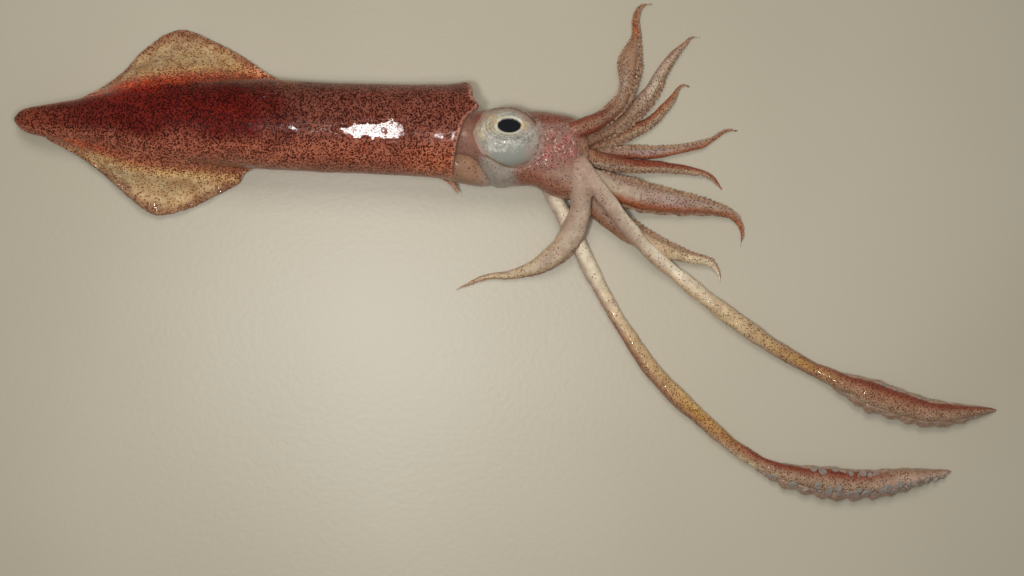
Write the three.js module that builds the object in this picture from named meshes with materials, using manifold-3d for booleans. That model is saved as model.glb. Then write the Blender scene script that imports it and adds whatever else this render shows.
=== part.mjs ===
// A whole raw squid lying on its left side on a flat surface, with its arms fanned out and both
// tentacles trailing. Millimetres. +X runs from the tail to the arms, +Y towards the back, +Z up.
// The origin is on the resting surface, under the middle of the mantle.
import * as THREE from "three";
import { mergeVertices } from "three/addons/utils/BufferGeometryUtils.js";
import Module from "manifold-3d";

const wasm = await Module();
wasm.setup();

// ---------- Driving dimensions ----------
const MANTLE_LENGTH = 139; // tail tip to the rim, without the lobe over the neck
const MANTLE_WIDTH = 28;
const MANTLE_HEIGHT = 24;
const TAIL_X = -103;
const WALL = 2.4; // flesh of the mantle at its rim
const SLEEVE_DEPTH = 13; // open space between the mantle's rim and the neck
const RIM_LOBE = 6; // how far the back of the rim reaches forwards over the neck
const RIM_LOBE_AT = 50; // degrees from straight up to the middle of that lobe, towards the back
const RIM_LOBE_WIDTH = 56; // degrees
const RIM_CURL = 2.8; // the small curled tip of the lobe
const RIM_CURL_AT = 27; // degrees from straight up
const RIM_CURL_WIDTH = 11; // degrees
const RIM_SPUR = 4.5; // the thin corner of the rim that stands out beside the funnel
const RIM_SPUR_AT = -105; // degrees from straight up
const RIM_SPUR_WIDTH = 7; // degrees
const FIN_ROOT_THICKNESS = 2.6;
const FIN_EDGE_THICKNESS = 1;
const EYE = new THREE.Vector3(53.1, -3.9, 13.6); // centre of the upper eyeball
const EYE_RADII = new THREE.Vector3(10.7, 9.4, 9.4);
const LOWER_EYE = new THREE.Vector3(53.1, -10.9, 6.4); // centre of the lower eyeball
const LOWER_EYE_PRESSED = 0.8; // share of its height left to the lower eyeball by the head's weight
const STALK_WIDTH = 5;
const CLUB_WIDTH = 9.8;
const CLUB_LENGTH = 62;
const LIMB_ROUND = 6; // a limb up to this wide is nearly round; a wider one is flatter
const GAP = 0.3; // clearance between pieces that touch
const FLAT_SHARE = 0.82; // how far down its half height a piece that lies on the surface is flattened
const SOFT_SQUARE = 2.2; // exponent of the super-ellipse of all flesh sections

// ---------- Colours ----------
const SKIN = new THREE.MeshStandardMaterial({ color: 0x7a3a30, roughness: 0.35 });
const HEAD_SKIN = new THREE.MeshStandardMaterial({ color: 0x9a736a, roughness: 0.3 });
const ARM_SKIN = new THREE.MeshStandardMaterial({ color: 0x96715f, roughness: 0.35 });
const TENTACLE_SKIN = new THREE.MeshStandardMaterial({ color: 0xa07a55, roughness: 0.3 });
const EYE_SILVER = new THREE.MeshStandardMaterial({ color: 0xb9bdb4, roughness: 0.2, metalness: 0.2 });

// ---------- Small maths ----------
const clamp01 = (v) => Math.min(1, Math.max(0, v));
const smooth = (v) => clamp01(v) ** 2 * (3 - 2 * clamp01(v));
const bell = (v, width) => Math.exp(-((v / width) ** 2));
const radians = THREE.MathUtils.degToRad;
const lerp = THREE.MathUtils.lerp;

/** A smooth value read off a short table of [position, value, value, ...] rows. */
function along(table, column) {
  return (position) => {
    const last = table.length - 1;
    let i = table.findIndex((row) => row[0] > position) - 1;
    if (position >= table[last][0]) i = last - 1;
    i = Math.max(0, i);
    const [a, b] = [table[i], table[i + 1]];
    const [before, after] = [table[Math.max(0, i - 1)], table[Math.min(last, i + 2)]];
    const t = clamp01((position - a[0]) / (b[0] - a[0]));
    const span = b[0] - a[0];
    const slopeA = ((b[column] - before[column]) / (b[0] - before[0])) * span;
    const slopeB = ((after[column] - a[column]) / (after[0] - a[0])) * span;
    const bend = t * t * (3 - 2 * t);
    return (
      lerp(a[column], b[column], bend) +
      slopeA * (t ** 3 - 2 * t ** 2 + t) +
      slopeB * (t ** 3 - t ** 2)
    );
  };
}

/** Point of a soft section at an angle from straight up, as [sideways, up] shares of its half sizes. */
function softSection(angle) {
  const soften = (v) => Math.sign(v) * Math.abs(v) ** (2 / SOFT_SQUARE);
  return [soften(Math.sin(angle)), Math.max(soften(Math.cos(angle)), -FLAT_SHARE)];
}

/** A closed surface through rings of equally many points, with a fan over the first and last ring. */
function loft(rings) {
  const sides = rings[0].length;
  const middle = (ring) => ring.reduce((sum, p) => sum.add(p), new THREE.Vector3()).divideScalar(sides);
  const points = [...rings.flat(), middle(rings[0]), middle(rings.at(-1))];
  const faces = [];
  for (let r = 0; r < rings.length - 1; r++) {
    for (let s = 0; s < sides; s++) {
      const [a, b] = [r * sides + s, r * sides + ((s + 1) % sides)];
      faces.push(a, b, b + sides, a, b + sides, a + sides);
    }
  }
  const [start, end, lastRing] = [points.length - 2, points.length - 1, (rings.length - 1) * sides];
  for (let s = 0; s < sides; s++) {
    const next = (s + 1) % sides;
    faces.push(start, next, s, end, lastRing + s, lastRing + next);
  }
  const geometry = new THREE.BufferGeometry().setFromPoints(points);
  geometry.setIndex(faces);
  return geometry;
}

// ---------- Solids ----------
/** A three.js geometry as a solid that can be joined and cut. */
function solidOf(geometry) {
  const bare = new THREE.BufferGeometry().setAttribute("position", geometry.getAttribute("position"));
  if (geometry.index) bare.setIndex(geometry.index);
  const merged = mergeVertices(bare, 1e-4);
  const triVerts = new Uint32Array(merged.index.array);
  const vertProperties = merged.attributes.position.array;
  const made = new wasm.Manifold(new wasm.Mesh({ numProp: 3, vertProperties, triVerts }));
  if (made.volume() > 0) return made;
  const turned = triVerts.slice();
  for (let i = 0; i < turned.length; i += 3) [turned[i], turned[i + 1]] = [turned[i + 1], turned[i]];
  return new wasm.Manifold(new wasm.Mesh({ numProp: 3, vertProperties, triVerts: turned }));
}

/** The largest body of a solid: a cut can leave crumbs beside it. */
function largest(solid) {
  return solid.decompose().reduce((best, body) => (body.volume() > best.volume() ? body : best));
}

/** A named mesh of a solid. */
function piece(name, solid, material) {
  const { vertProperties, triVerts } = largest(solid).getMesh();
  const geometry = new THREE.BufferGeometry();
  geometry.setAttribute("position", new THREE.BufferAttribute(new Float32Array(vertProperties), 3));
  geometry.setIndex(new THREE.BufferAttribute(new Uint32Array(triVerts), 1));
  geometry.computeVertexNormals();
  const mesh = new THREE.Mesh(geometry, material);
  mesh.name = name;
  return mesh;
}

// ---------- Mantle and fins ----------
// share of the length, sideways offset of the axis, share of the full width, height of the underside
const MANTLE_STATIONS = [
  [0.0, 2.3, 0.04, 5],
  [0.012, 2.2, 0.18, 3.4],
  [0.03, 2.0, 0.28, 2.6],
  [0.07, 1.8, 0.36, 2.2],
  [0.14, 1.9, 0.47, 1.7],
  [0.21, 1.7, 0.64, 1.5],
  [0.27, 1.2, 0.79, 1.2],
  [0.34, 0.9, 0.89, 0.9],
  [0.43, 1.1, 0.94, 0.5],
  [0.53, 0.8, 1.0, 0.1],
  [0.6, 0.2, 1.01, 0],
  [0.75, -0.8, 1.01, 0],
  [0.87, -1.4, 1.01, 0],
  [1.0, -2.0, 1.07, 0],
];
const MANTLE_SIDES = 24;
const NEAR_RIM = [0.94, 0.983]; // shares of the length of two more rings, where the rim's spur starts
const LIP = 1.004; // share of the length at the middle of the rim's edge
const LOBE_RISE = 16; // exponent: the lobe grows out of the last part of the mantle
const SPUR_RISE = 64; // exponent: the spur grows out of the very rim
const SLEEVE_DEPTHS = [0, 0.35, 1]; // shares of the sleeve's depth with a ring
const WALL_THICKENS = 0.4; // by this share of itself at the bottom of the sleeve
const mantleY = along(MANTLE_STATIONS, 1);
const mantleShare = along(MANTLE_STATIONS, 2);
const mantleClearance = along(MANTLE_STATIONS, 3);
const mantleHalfHeight = (share) => (mantleShare(share) * MANTLE_HEIGHT) / (1 + FLAT_SHARE);
const mantleZ = (share) => Math.max(0, mantleClearance(share)) + FLAT_SHARE * mantleHalfHeight(share);
const mantleX = (share) => TAIL_X + share * MANTLE_LENGTH;

/** A bump of the rim around one angle. Its middle and width are in degrees, the middle from straight up. */
function rimBump(angle, middle, width) {
  const away = THREE.MathUtils.euclideanModulo(angle - radians(middle) + Math.PI, 2 * Math.PI) - Math.PI;
  return bell(away, radians(width));
}

/** A ring of the mantle at a share of its length, drawn in by inset from its skin. */
function mantleRing(share, inset) {
  const halfWidth = (mantleShare(share) * MANTLE_WIDTH) / 2 - inset;
  const halfHeight = mantleHalfHeight(share) - inset;
  const atRim = share ** LOBE_RISE;
  return Array.from({ length: MANTLE_SIDES }, (_, i) => {
    const angle = (i / MANTLE_SIDES) * 2 * Math.PI;
    const [side, up] = softSection(angle);
    const curl = RIM_CURL * rimBump(angle, RIM_CURL_AT, RIM_CURL_WIDTH);
    const lobe = RIM_LOBE * rimBump(angle, RIM_LOBE_AT, RIM_LOBE_WIDTH) + curl;
    const spurHere = RIM_SPUR * rimBump(angle, RIM_SPUR_AT, RIM_SPUR_WIDTH) * share ** SPUR_RISE;
    const spur = inset > WALL ? 0 : spurHere;
    const x = mantleX(share) + (lobe + spur / 4) * atRim;
    const y = mantleY(share) + side * halfWidth - spur;
    return new THREE.Vector3(x, y, Math.max(inset, mantleZ(share) + up * halfHeight));
  });
}

function mantleBody() {
  const outer = MANTLE_STATIONS.map(([share]) => mantleRing(share, 0));
  outer.splice(-1, 0, ...NEAR_RIM.map((share) => mantleRing(share, 0)));
  const lip = mantleRing(LIP, WALL / 2);
  const inner = SLEEVE_DEPTHS.map((depth) => {
    const share = 1 - (depth * SLEEVE_DEPTH) / MANTLE_LENGTH;
    return mantleRing(share, WALL * (1 + WALL_THICKENS * depth));
  });
  return solidOf(loft([...outer, lip, ...inner]));
}

// The free edge of each fin as [x, y], from its tail end to its front end.
const FIN_EDGES = {
  back: [
    [-90, 6.6], [-80, 10.5], [-70.5, 16.6], [-62, 25.2], [-54.5, 30.4],
    [-49, 31.2], [-41, 28], [-31, 22.8], [-23, 17.2], [-15, 13.2],
  ],
  belly: [
    [-95, -2.9], [-82.5, -9.8], [-74.5, -15.8], [-67, -22.5], [-60.2, -27.5], [-55.5, -28],
    [-47.5, -25.8], [-38.5, -21.4], [-32, -18], [-29.5, -14.6], [-24.4, -12.4],
  ],
};
const FIN_STEPS = 16;
const FIN_SPANS = [0, 0.25, 0.45, 0.65, 0.85, 1]; // shares of the way from the root to the edge
const FIN_ROOT = 0.6; // share of the mantle's half width where a fin grows out of it
const FIN_ROOT_UP = 0.72; // share of the mantle's half height
const FIN_CLEARANCE = 1.4; // height of the middle of the edge above the surface
const FIN_WAVE = 0.8;
const FIN_WAVE_TURN = 9; // radians of that wave along a fin
const FIN_FRONT_LIFT = 3.5; // how far the front end of a fin stands off the surface
const FIN_FRONT = 0.75; // share of a fin's length where that lift starts
const FIN_DROP = 1.2; // above 1, a fin comes down to its edge's height before it gets there
const FIN_THINS = 0.7; // below 1, a fin thins faster near its root
const FIN_START = 0.05; // share of the mantle's length at a fin's tail end
const FIN_ENDS = { back: 0.62, belly: 0.57 }; // shares of the mantle's length at their front ends

/** A fin: a blade that leaves the mantle's flank, drapes over it and lies down towards its edge. */
function fin(name, side) {
  const edge = new THREE.SplineCurve(FIN_EDGES[name].map(([x, y]) => new THREE.Vector2(x, y)));
  const rings = [];
  for (let i = 0; i <= FIN_STEPS; i++) {
    const t = i / FIN_STEPS;
    const out = edge.getPoint(t);
    const share = lerp(FIN_START, FIN_ENDS[name], t);
    const halfWidth = (mantleShare(share) * MANTLE_WIDTH) / 2;
    const root = new THREE.Vector2(mantleX(share), mantleY(share) + side * halfWidth * FIN_ROOT);
    const rootZ = mantleZ(share) + mantleHalfHeight(share) * FIN_ROOT_UP - FIN_ROOT_THICKNESS / 4;
    const wave = FIN_WAVE * (1 + Math.sin(FIN_WAVE_TURN * t + side));
    const lift = FIN_FRONT_LIFT * smooth((t - FIN_FRONT) / (1 - FIN_FRONT));
    const edgeZ = FIN_CLEARANCE + wave + lift;
    const blade = (s, face) => {
      const thickness = lerp(FIN_ROOT_THICKNESS, FIN_EDGE_THICKNESS, s ** FIN_THINS);
      const z = lerp(rootZ, edgeZ, smooth(FIN_DROP * s)) + (face * thickness) / 2;
      return new THREE.Vector3(lerp(root.x, out.x, s), lerp(root.y, out.y, s), Math.max(0, z));
    };
    const top = FIN_SPANS.map((s) => blade(s, 1));
    const bottom = FIN_SPANS.map((s) => blade(s, -1)).reverse();
    rings.push([...top, ...bottom]);
  }
  return solidOf(loft(rings));
}

function mantle() {
  return mantleBody().add(fin("back", 1)).add(fin("belly", -1));
}

// ---------- Head, eyes and funnel ----------
// x, middle y, half width, half height, height of the underside
const HEAD_STATIONS = [
  [26.5, -3, 9, 7, 5.6],
  [28, -3, 10, 8.2, 4.8],
  [36, -2.1, 8.9, 8.8, 4.2],
  [43, -3.4, 8.4, 9.5, 2.6],
  [49, -7.1, 12, 10.8, 0.6],
  [56, -7.1, 12, 11.3, 0],
  [62, -7.3, 11.9, 10.8, 0],
  [66.6, -8.8, 13, 10.4, 0.1],
  [70.4, -9.6, 13.3, 10, 0.3],
  [74.9, -10.4, 12.7, 9.2, 0.8],
  [79, -10.6, 8, 6.2, 2.6],
];
const HEAD_SIDES = 18;
const HEAD_STEPS = 15;

function head(grow = 0) {
  const [first, last] = [HEAD_STATIONS[0][0] - grow, HEAD_STATIONS.at(-1)[0] + grow];
  const columns = [1, 2, 3, 4].map((column) => along(HEAD_STATIONS, column));
  const rings = Array.from({ length: HEAD_STEPS + 1 }, (_, i) => {
    const x = lerp(first, last, i / HEAD_STEPS);
    const [y, halfWidth, halfHeight, clearance] = columns.map((value) => value(x));
    const z = Math.max(0, clearance) + FLAT_SHARE * halfHeight;
    return Array.from({ length: HEAD_SIDES }, (__, k) => {
      const [side, up] = softSection((k / HEAD_SIDES) * 2 * Math.PI);
      return new THREE.Vector3(x, y + side * (halfWidth + grow), Math.max(0, z + up * (halfHeight + grow)));
    });
  });
  return solidOf(loft(rings));
}

/** An eyeball. The lower one is pressed flat by the head's weight. */
function eye(upper, grow = 0) {
  const ball = new THREE.SphereGeometry(1, 18, 11).rotateX(Math.PI / 2);
  ball.scale(EYE_RADII.x + grow, EYE_RADII.y + grow, (EYE_RADII.z + grow) * (upper ? 1 : LOWER_EYE_PRESSED));
  ball.translate(...(upper ? EYE : LOWER_EYE));
  const position = ball.getAttribute("position");
  for (let i = 0; i < position.count; i++) position.setZ(i, Math.max(0, position.getZ(i)));
  return solidOf(ball);
}

const EYE_SHOWS_ABOVE = 12.1; // height from which the upper eyeball stands out of the head
const EYE_SHOWS_BELOW = 4.8; // height up to which the lower eyeball does

/** The share of an eyeball that shows: the rest is buried in the head. */
function eyeCap(upper) {
  const size = 4 * EYE_RADII.x; // larger than an eyeball each way
  const seat = new THREE.BoxGeometry(size, size, size);
  seat.translate(EYE.x, EYE.y, upper ? EYE_SHOWS_ABOVE + size / 2 : EYE_SHOWS_BELOW - size / 2);
  return eye(upper).intersect(solidOf(seat));
}

// x, middle y, half width, middle z, half height of the funnel, ending at its mouth
const FUNNEL_STATIONS = [
  [27, -9.6, 4.6, 9, 5.4],
  [34, -10.9, 6, 9.6, 6.9],
  [40, -12.5, 6, 9.8, 6.9],
  [45, -14.2, 5, 9.2, 5.8],
  [48.8, -15.4, 3.6, 8.6, 4.2],
];
const FUNNEL_SIDES = 14;
const FUNNEL_STEPS = 7;
const FUNNEL_WALL = 1.1;
const FUNNEL_BORE = 6;

function funnel(grow = 0) {
  const columns = [1, 2, 3, 4].map((column) => along(FUNNEL_STATIONS, column));
  const ring = (x, inset) => {
    const [y, halfWidth, z, halfHeight] = columns.map((value) => value(x));
    return Array.from({ length: FUNNEL_SIDES }, (_, k) => {
      const [side, up] = softSection((k / FUNNEL_SIDES) * 2 * Math.PI);
      return new THREE.Vector3(x, y + side * (halfWidth - inset), z + up * (halfHeight - inset));
    });
  };
  const [first, mouth] = [FUNNEL_STATIONS[0][0], FUNNEL_STATIONS.at(-1)[0]];
  const outer = Array.from({ length: FUNNEL_STEPS + 1 }, (_, i) =>
    ring(lerp(first - grow, mouth + grow, i / FUNNEL_STEPS), -grow),
  );
  if (grow > 0) return solidOf(loft(outer));
  const bore = [mouth, mouth - FUNNEL_BORE / 2, mouth - FUNNEL_BORE].map((x) => ring(x, FUNNEL_WALL));
  return solidOf(loft([...outer, ...bore]));
}

// ---------- Arms and tentacles ----------
// Each route runs from inside the head to the limb's tip as [x, y, width]. The limb leaves the head
// at the height lift and comes down onto the surface at the share lands of its length. Limbs are in
// order from the top of the heap down: each one is pressed in by those before it.
const ARMS = [
  {
    name: "arm_1_right", lift: 11, lands: 0.56,
    route: [
      [73.8, -2.2, 8], [82, 0.9, 6.8], [86.5, 3.9, 6.2], [90, 8, 5.5], [91.9, 12.8, 5.2], [92.5, 16.4, 6.8],
      [92.7, 20.6, 8.1], [93.9, 25.2, 5.7], [94.7, 28.9, 3.5], [94.7, 34.3, 2.7], [95.4, 37.4, 2.1],
      [96.9, 39.1, 1.3], [100, 39.7, 0.6],
    ],
  },
  {
    name: "arm_4_right", lift: 12, lands: 0.68,
    route: [
      [75.4, -12.6, 7], [76.7, -20.6, 7], [76.5, -27.6, 7.2], [72.4, -36.6, 7.8], [65, -43.2, 5.9],
      [55, -46.9, 3], [46.7, -47.7, 1.9], [37.1, -51.8, 0.6],
    ],
  },
  {
    name: "arm_3_left", lift: 7, lands: 0.62,
    route: [
      [75.9, -9.6, 7], [84.7, -11.4, 5.8], [92.7, -12.3, 4.4], [102.2, -12.6, 3.7], [111.9, -13.8, 2.8],
      [118.3, -15.5, 1.9], [122.2, -19.8, 0.6],
    ],
  },
  {
    name: "arm_3_right", lift: 8, lands: 0.42,
    route: [
      [77.1, -14.7, 7.7], [84.6, -18.4, 9.2], [95.7, -22, 9.6], [106.8, -24, 8.2], [117.8, -25.6, 5.6],
      [125.3, -27.9, 3.6], [128.5, -32.3, 1.9], [128.2, -38.1, 0.6],
    ],
  },
  {
    name: "arm_1_left", lift: 5, lands: 0.35,
    route: [
      [78.1, -5.3, 7], [87.8, -0.4, 6], [94.2, 4.9, 5.6], [99.4, 11, 5.4], [102.8, 17.2, 4.2], [107.1, 23.3, 3],
      [110.3, 26.6, 1.9], [112.4, 28.8, 1], [115.4, 28.8, 0.6],
    ],
  },
  {
    name: "arm_2_left", lift: 2, lands: 0.35,
    route: [
      [78.3, -7.3, 5.8], [88.2, -3.7, 4.8], [93.3, -1.3, 4.2], [98.8, 1.5, 3.9], [104, 6.5, 3.1], [106.9, 9.9, 2.3],
      [108.3, 12.4, 1.3], [109.7, 13.6, 0.9], [112, 13, 0.6],
    ],
  },
  {
    name: "arm_2_right", lift: 2, lands: 0.35,
    route: [
      [79.3, -8, 5.1], [89.5, -7.8, 4.6], [98.8, -8, 4.4], [108, -6.9, 3.2], [115.4, -5.3, 2.8], [119, -3.6, 1.7],
      [122.7, -1.1, 1.3], [124.5, -0.6, 0.9], [127.4, -0.8, 0.6],
    ],
  },
  {
    name: "arm_4_left", lift: 3, lands: 0.3,
    route: [
      [76.6, -18.5, 7.7], [84.2, -26.7, 7.9], [93.8, -33.7, 7.3], [103.8, -38.7, 5.8], [111.9, -41.4, 4.2],
      [118.4, -43, 3], [121.2, -46.7, 1.4], [121.6, -49.6, 0.6],
    ],
  },
];
const TENTACLES = [
  {
    name: "tentacle_right", lift: 13, lands: 0.34,
    route: [
      [75.7, -11.1], [85.5, -24.3], [97.4, -38.3], [111.4, -50], [125.4, -60.9], [141.2, -71.6],
      [156.4, -79.6], [171.6, -86.1], [189.6, -91.2], [210.1, -90.3],
    ],
  },
  {
    name: "tentacle_left", lift: 4.6, lands: 0.2,
    route: [
      [66.5, -18.9], [72.5, -29.9], [81.8, -48.6], [90.7, -64.1], [101.5, -79.4], [115.6, -93.1],
      [129.8, -104.6], [145.7, -111.3], [165.6, -113.8], [183.6, -111.8], [195.8, -109.9],
    ],
  },
];
const ARM_SIDES = 10;
const ARM_STEPS = 18;
const TENTACLE_STEPS = 30;
const STALK_WAIST = 0.08; // how much a tentacle's stalk swells and narrows along its length
const STALK_TURN = 18; // radians of that wave along a tentacle
const CLUB_OPENS = 2.6; // how fast a club widens, as its length over the length it takes
const CLUB_ROUNDS = 1.5; // above 1, a club keeps its width for longer before its tip
const STALK_ENDS = 0.6; // share of the club where the stalk inside it starts to thin away
const TIP_WIDTH = 0.6;
const ROUND_LIMB_HEIGHT = 0.85; // height over width of a round limb
const WIDE_LIMB_HEIGHT = 0.4; // height over width of what is beyond that

/** A limb's height at a width: nearly round when thin, flatter when wide. */
const limbHeight = (width) =>
  ROUND_LIMB_HEIGHT * Math.min(width, LIMB_ROUND) + WIDE_LIMB_HEIGHT * Math.max(0, width - LIMB_ROUND);

/** Width of an arm at a share of its route, from the widths in its route. */
function armWidth(route) {
  return along(route.map((point, i) => [i / (route.length - 1), point[2]]), 1);
}

/** Width of a tentacle at a share of its length: an even stalk, then a leaf-shaped club. */
function tentacleWidth(length) {
  return (t) => {
    const intoClub = (t * length - (length - CLUB_LENGTH)) / CLUB_LENGTH;
    const leaf = smooth(intoClub * CLUB_OPENS) * Math.sqrt(clamp01((1 - intoClub) * CLUB_ROUNDS));
    const thinning = 1 - smooth((intoClub - STALK_ENDS) / (1 - STALK_ENDS));
    const stalk = STALK_WIDTH * (1 + STALK_WAIST * Math.sin(STALK_TURN * t)) * thinning;
    return Math.max(TIP_WIDTH, stalk + (CLUB_WIDTH - stalk) * leaf);
  };
}

/** A limb along its route, grown by grow all round. */
function limb({ route, lift, lands }, tentacle, grow = 0) {
  const course = route.map(([x, y]) => new THREE.Vector3(x, y, 0));
  const curve = new THREE.CatmullRomCurve3(course, false, "centripetal");
  const steps = tentacle ? TENTACLE_STEPS : ARM_STEPS;
  const widthAt = tentacle ? tentacleWidth(curve.getLength()) : armWidth(route);
  const rings = Array.from({ length: steps + 1 }, (_, i) => {
    const t = i / steps;
    const u = tentacle ? curve.getUtoTmapping(t) : t;
    const [middle, tangent] = [curve.getPoint(u), curve.getTangent(u)];
    const across = new THREE.Vector3(-tangent.y, tangent.x, 0);
    const width = widthAt(t);
    const halfHeight = limbHeight(width) / (1 + FLAT_SHARE);
    const clear = lift * (1 - smooth(t / lands));
    return Array.from({ length: ARM_SIDES }, (__, k) => {
      const [side, up] = softSection((k / ARM_SIDES) * 2 * Math.PI);
      const z = clear + halfHeight * FLAT_SHARE + up * (halfHeight + grow);
      const point = middle.clone().addScaledVector(across, side * (width / 2 + grow));
      return point.setZ(Math.max(0, z));
    });
  });
  return solidOf(loft(rings));
}

// ---------- The whole squid ----------
const squid = new THREE.Group();
squid.name = "squid";
const funnelClearance = funnel(GAP);
const eyeClearances = eye(true, GAP).add(eye(false, GAP));
const trunk = head(GAP).add(funnelClearance).add(eyeClearances);
squid.add(piece("mantle", mantle().subtract(trunk), SKIN));
squid.add(piece("head", head().subtract(funnelClearance).subtract(eyeClearances), HEAD_SKIN));
squid.add(piece("funnel", funnel().subtract(eyeClearances), HEAD_SKIN));
squid.add(piece("eye_right", eyeCap(true), EYE_SILVER));
squid.add(piece("eye_left", eyeCap(false), EYE_SILVER));

let pressing = trunk;
const heap = [...ARMS.slice(0, 1), TENTACLES[0], ...ARMS.slice(1), TENTACLES[1]];
for (const spec of heap) {
  const tentacle = TENTACLES.includes(spec);
  const flesh = limb(spec, tentacle).subtract(pressing);
  squid.add(piece(spec.name, flesh, tentacle ? TENTACLE_SKIN : ARM_SKIN));
  pressing = pressing.add(limb(spec, tentacle, GAP));
}

export default squid;
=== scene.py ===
"""A whole raw squid lying on its side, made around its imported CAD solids.

Lengths are in millimetres until a mesh is made. +X runs from the tail to the arms, +Y towards the squid's
back, and +Z up, towards its right side.
"""

import math

import bpy
import numpy as np
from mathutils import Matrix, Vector, kdtree, noise


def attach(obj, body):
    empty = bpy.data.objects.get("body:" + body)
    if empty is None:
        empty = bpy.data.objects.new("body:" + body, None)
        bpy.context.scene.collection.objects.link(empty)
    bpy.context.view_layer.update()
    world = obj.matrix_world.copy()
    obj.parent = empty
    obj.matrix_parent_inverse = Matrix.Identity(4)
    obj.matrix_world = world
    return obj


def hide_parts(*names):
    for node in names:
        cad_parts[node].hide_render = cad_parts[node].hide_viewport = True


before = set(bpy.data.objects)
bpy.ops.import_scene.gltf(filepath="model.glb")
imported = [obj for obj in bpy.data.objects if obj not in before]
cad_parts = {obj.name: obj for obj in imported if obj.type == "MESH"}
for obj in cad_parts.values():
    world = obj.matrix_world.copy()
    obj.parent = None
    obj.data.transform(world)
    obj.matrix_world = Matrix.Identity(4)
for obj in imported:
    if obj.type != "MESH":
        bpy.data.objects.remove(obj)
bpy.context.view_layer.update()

MM = 0.001
DRAW = np.random.default_rng(7)

# ---------- Driving sizes, as in the CAD ----------
MANTLE_LENGTH = 139
MANTLE_WIDTH = 28
MANTLE_HEIGHT = 24
TAIL_X = -103
WALL = 2.4
SLEEVE_DEPTH = 13
RIM_LOBE, RIM_LOBE_AT, RIM_LOBE_WIDTH = 6, 50, 56
RIM_CURL, RIM_CURL_AT, RIM_CURL_WIDTH = 2.8, 27, 9
RIM_SPUR, RIM_SPUR_AT, RIM_SPUR_WIDTH = 4.5, -105, 4.5
RIM_FLARE, RIM_FLARE_AT, RIM_FLARE_WIDTH = 0.7, 80, 14
LOWER_EYE = np.array([53.1, -10.9, 6.4])
STALK_WIDTH = 5
CLUB_WIDTH = 9.8
CLUB_LENGTH = 62
LIMB_ROUND = 6
LIMB_TIP_WIDTH = 0.6
USUAL_WIDTH = 4.5
FLAT_SHARE = 0.82
SOFT_SQUARE = 2.2

# share of the length, sideways offset of the axis, share of the full width, height of the underside
MANTLE_STATIONS = [
    [0.0, 2.3, 0.04, 5], [0.012, 2.2, 0.18, 3.4], [0.03, 2.0, 0.28, 2.6], [0.07, 1.8, 0.36, 2.2],
    [0.14, 1.9, 0.47, 1.7], [0.21, 1.7, 0.64, 1.5], [0.27, 1.2, 0.79, 1.2], [0.34, 0.9, 0.89, 0.9],
    [0.43, 1.1, 0.94, 0.5], [0.53, 0.8, 1.0, 0.1], [0.6, 0.2, 1.01, 0], [0.75, -0.8, 1.01, 0],
    [0.87, -1.4, 1.01, 0], [1.0, -2.0, 1.07, 0],
]
FIN_EDGES = {
    "back": [
        (-90, 6.6), (-80, 10.5), (-70.5, 16.6), (-62, 25.2), (-54.5, 30.4),
        (-49, 31.2), (-41, 28), (-31, 22.8), (-23, 17.2), (-15, 13.2),
    ],
    "belly": [
        (-95, -2.9), (-82.5, -9.8), (-74.5, -15.8), (-67, -22.5), (-60.2, -27.5), (-55.5, -28),
        (-47.5, -25.8), (-38.5, -21.4), (-32, -18), (-29.5, -14.6), (-24.4, -12.4),
    ],
}
# x, middle y, half width, half height, height of the underside
HEAD_STATIONS = [
    [26.5, -3, 9, 7, 5.6], [28, -3, 10, 8.2, 4.8], [36, -2.1, 8.9, 8.8, 4.2], [43, -3.4, 8.4, 9.5, 2.6],
    [49, -7.1, 12, 10.8, 0.6], [56, -7.1, 12, 11.3, 0], [62, -7.3, 11.9, 10.8, 0],
    [66.6, -8.8, 13, 10.4, 0.1], [70.4, -9.6, 13.3, 10, 0.3], [74.9, -10.4, 12.7, 9.2, 0.8],
    [79, -10.6, 8, 6.2, 2.6],
]
# x, middle y, half width, middle z, half height
FUNNEL_STATIONS = [
    [27, -9.6, 4.6, 9, 5.4], [34, -10.9, 6, 9.6, 6.9], [40, -12.5, 6, 9.8, 6.9],
    [45, -14.2, 5, 9.2, 5.8], [48.8, -15.4, 3.6, 8.6, 4.2],
]
FUNNEL_WALL = 1.1
FUNNEL_BORE = 6


# ---------- Small maths ----------
def smooth(v):
    v = np.clip(v, 0, 1)
    return v * v * (3 - 2 * v)


def bell(v, width):
    return np.exp(-((v / width) ** 2))


def lerp(a, b, t):
    return a + (b - a) * t


def turns(sides):
    """Angles evenly round one full turn."""
    return np.arange(sides) / sides * 2 * math.pi


def kept_above(points, lowest=0.0):
    """Points with none of their heights under the lowest."""
    return np.maximum(points, [-np.inf, -np.inf, lowest])


def along(table, column):
    """A smooth value read off a short table of [position, value, value, ...] rows."""
    rows = np.array(table, float)
    xs, ys = rows[:, 0], rows[:, column]
    before, after = np.maximum(np.arange(len(xs)) - 1, 0), np.minimum(np.arange(len(xs)) + 1, len(xs) - 1)
    slopes = (ys[after] - ys[before]) / (xs[after] - xs[before])

    def value(position):
        position = np.asarray(position, float)
        i = np.clip(np.searchsorted(xs, position, side="right") - 1, 0, len(xs) - 2)
        span = xs[i + 1] - xs[i]
        t = np.clip((position - xs[i]) / span, 0, 1)
        bend = t * t * (3 - 2 * t)
        curve = lerp(ys[i], ys[i + 1], bend)
        return curve + span * (slopes[i] * (t**3 - 2 * t**2 + t) + slopes[i + 1] * (t**3 - t**2))

    return value


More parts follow.
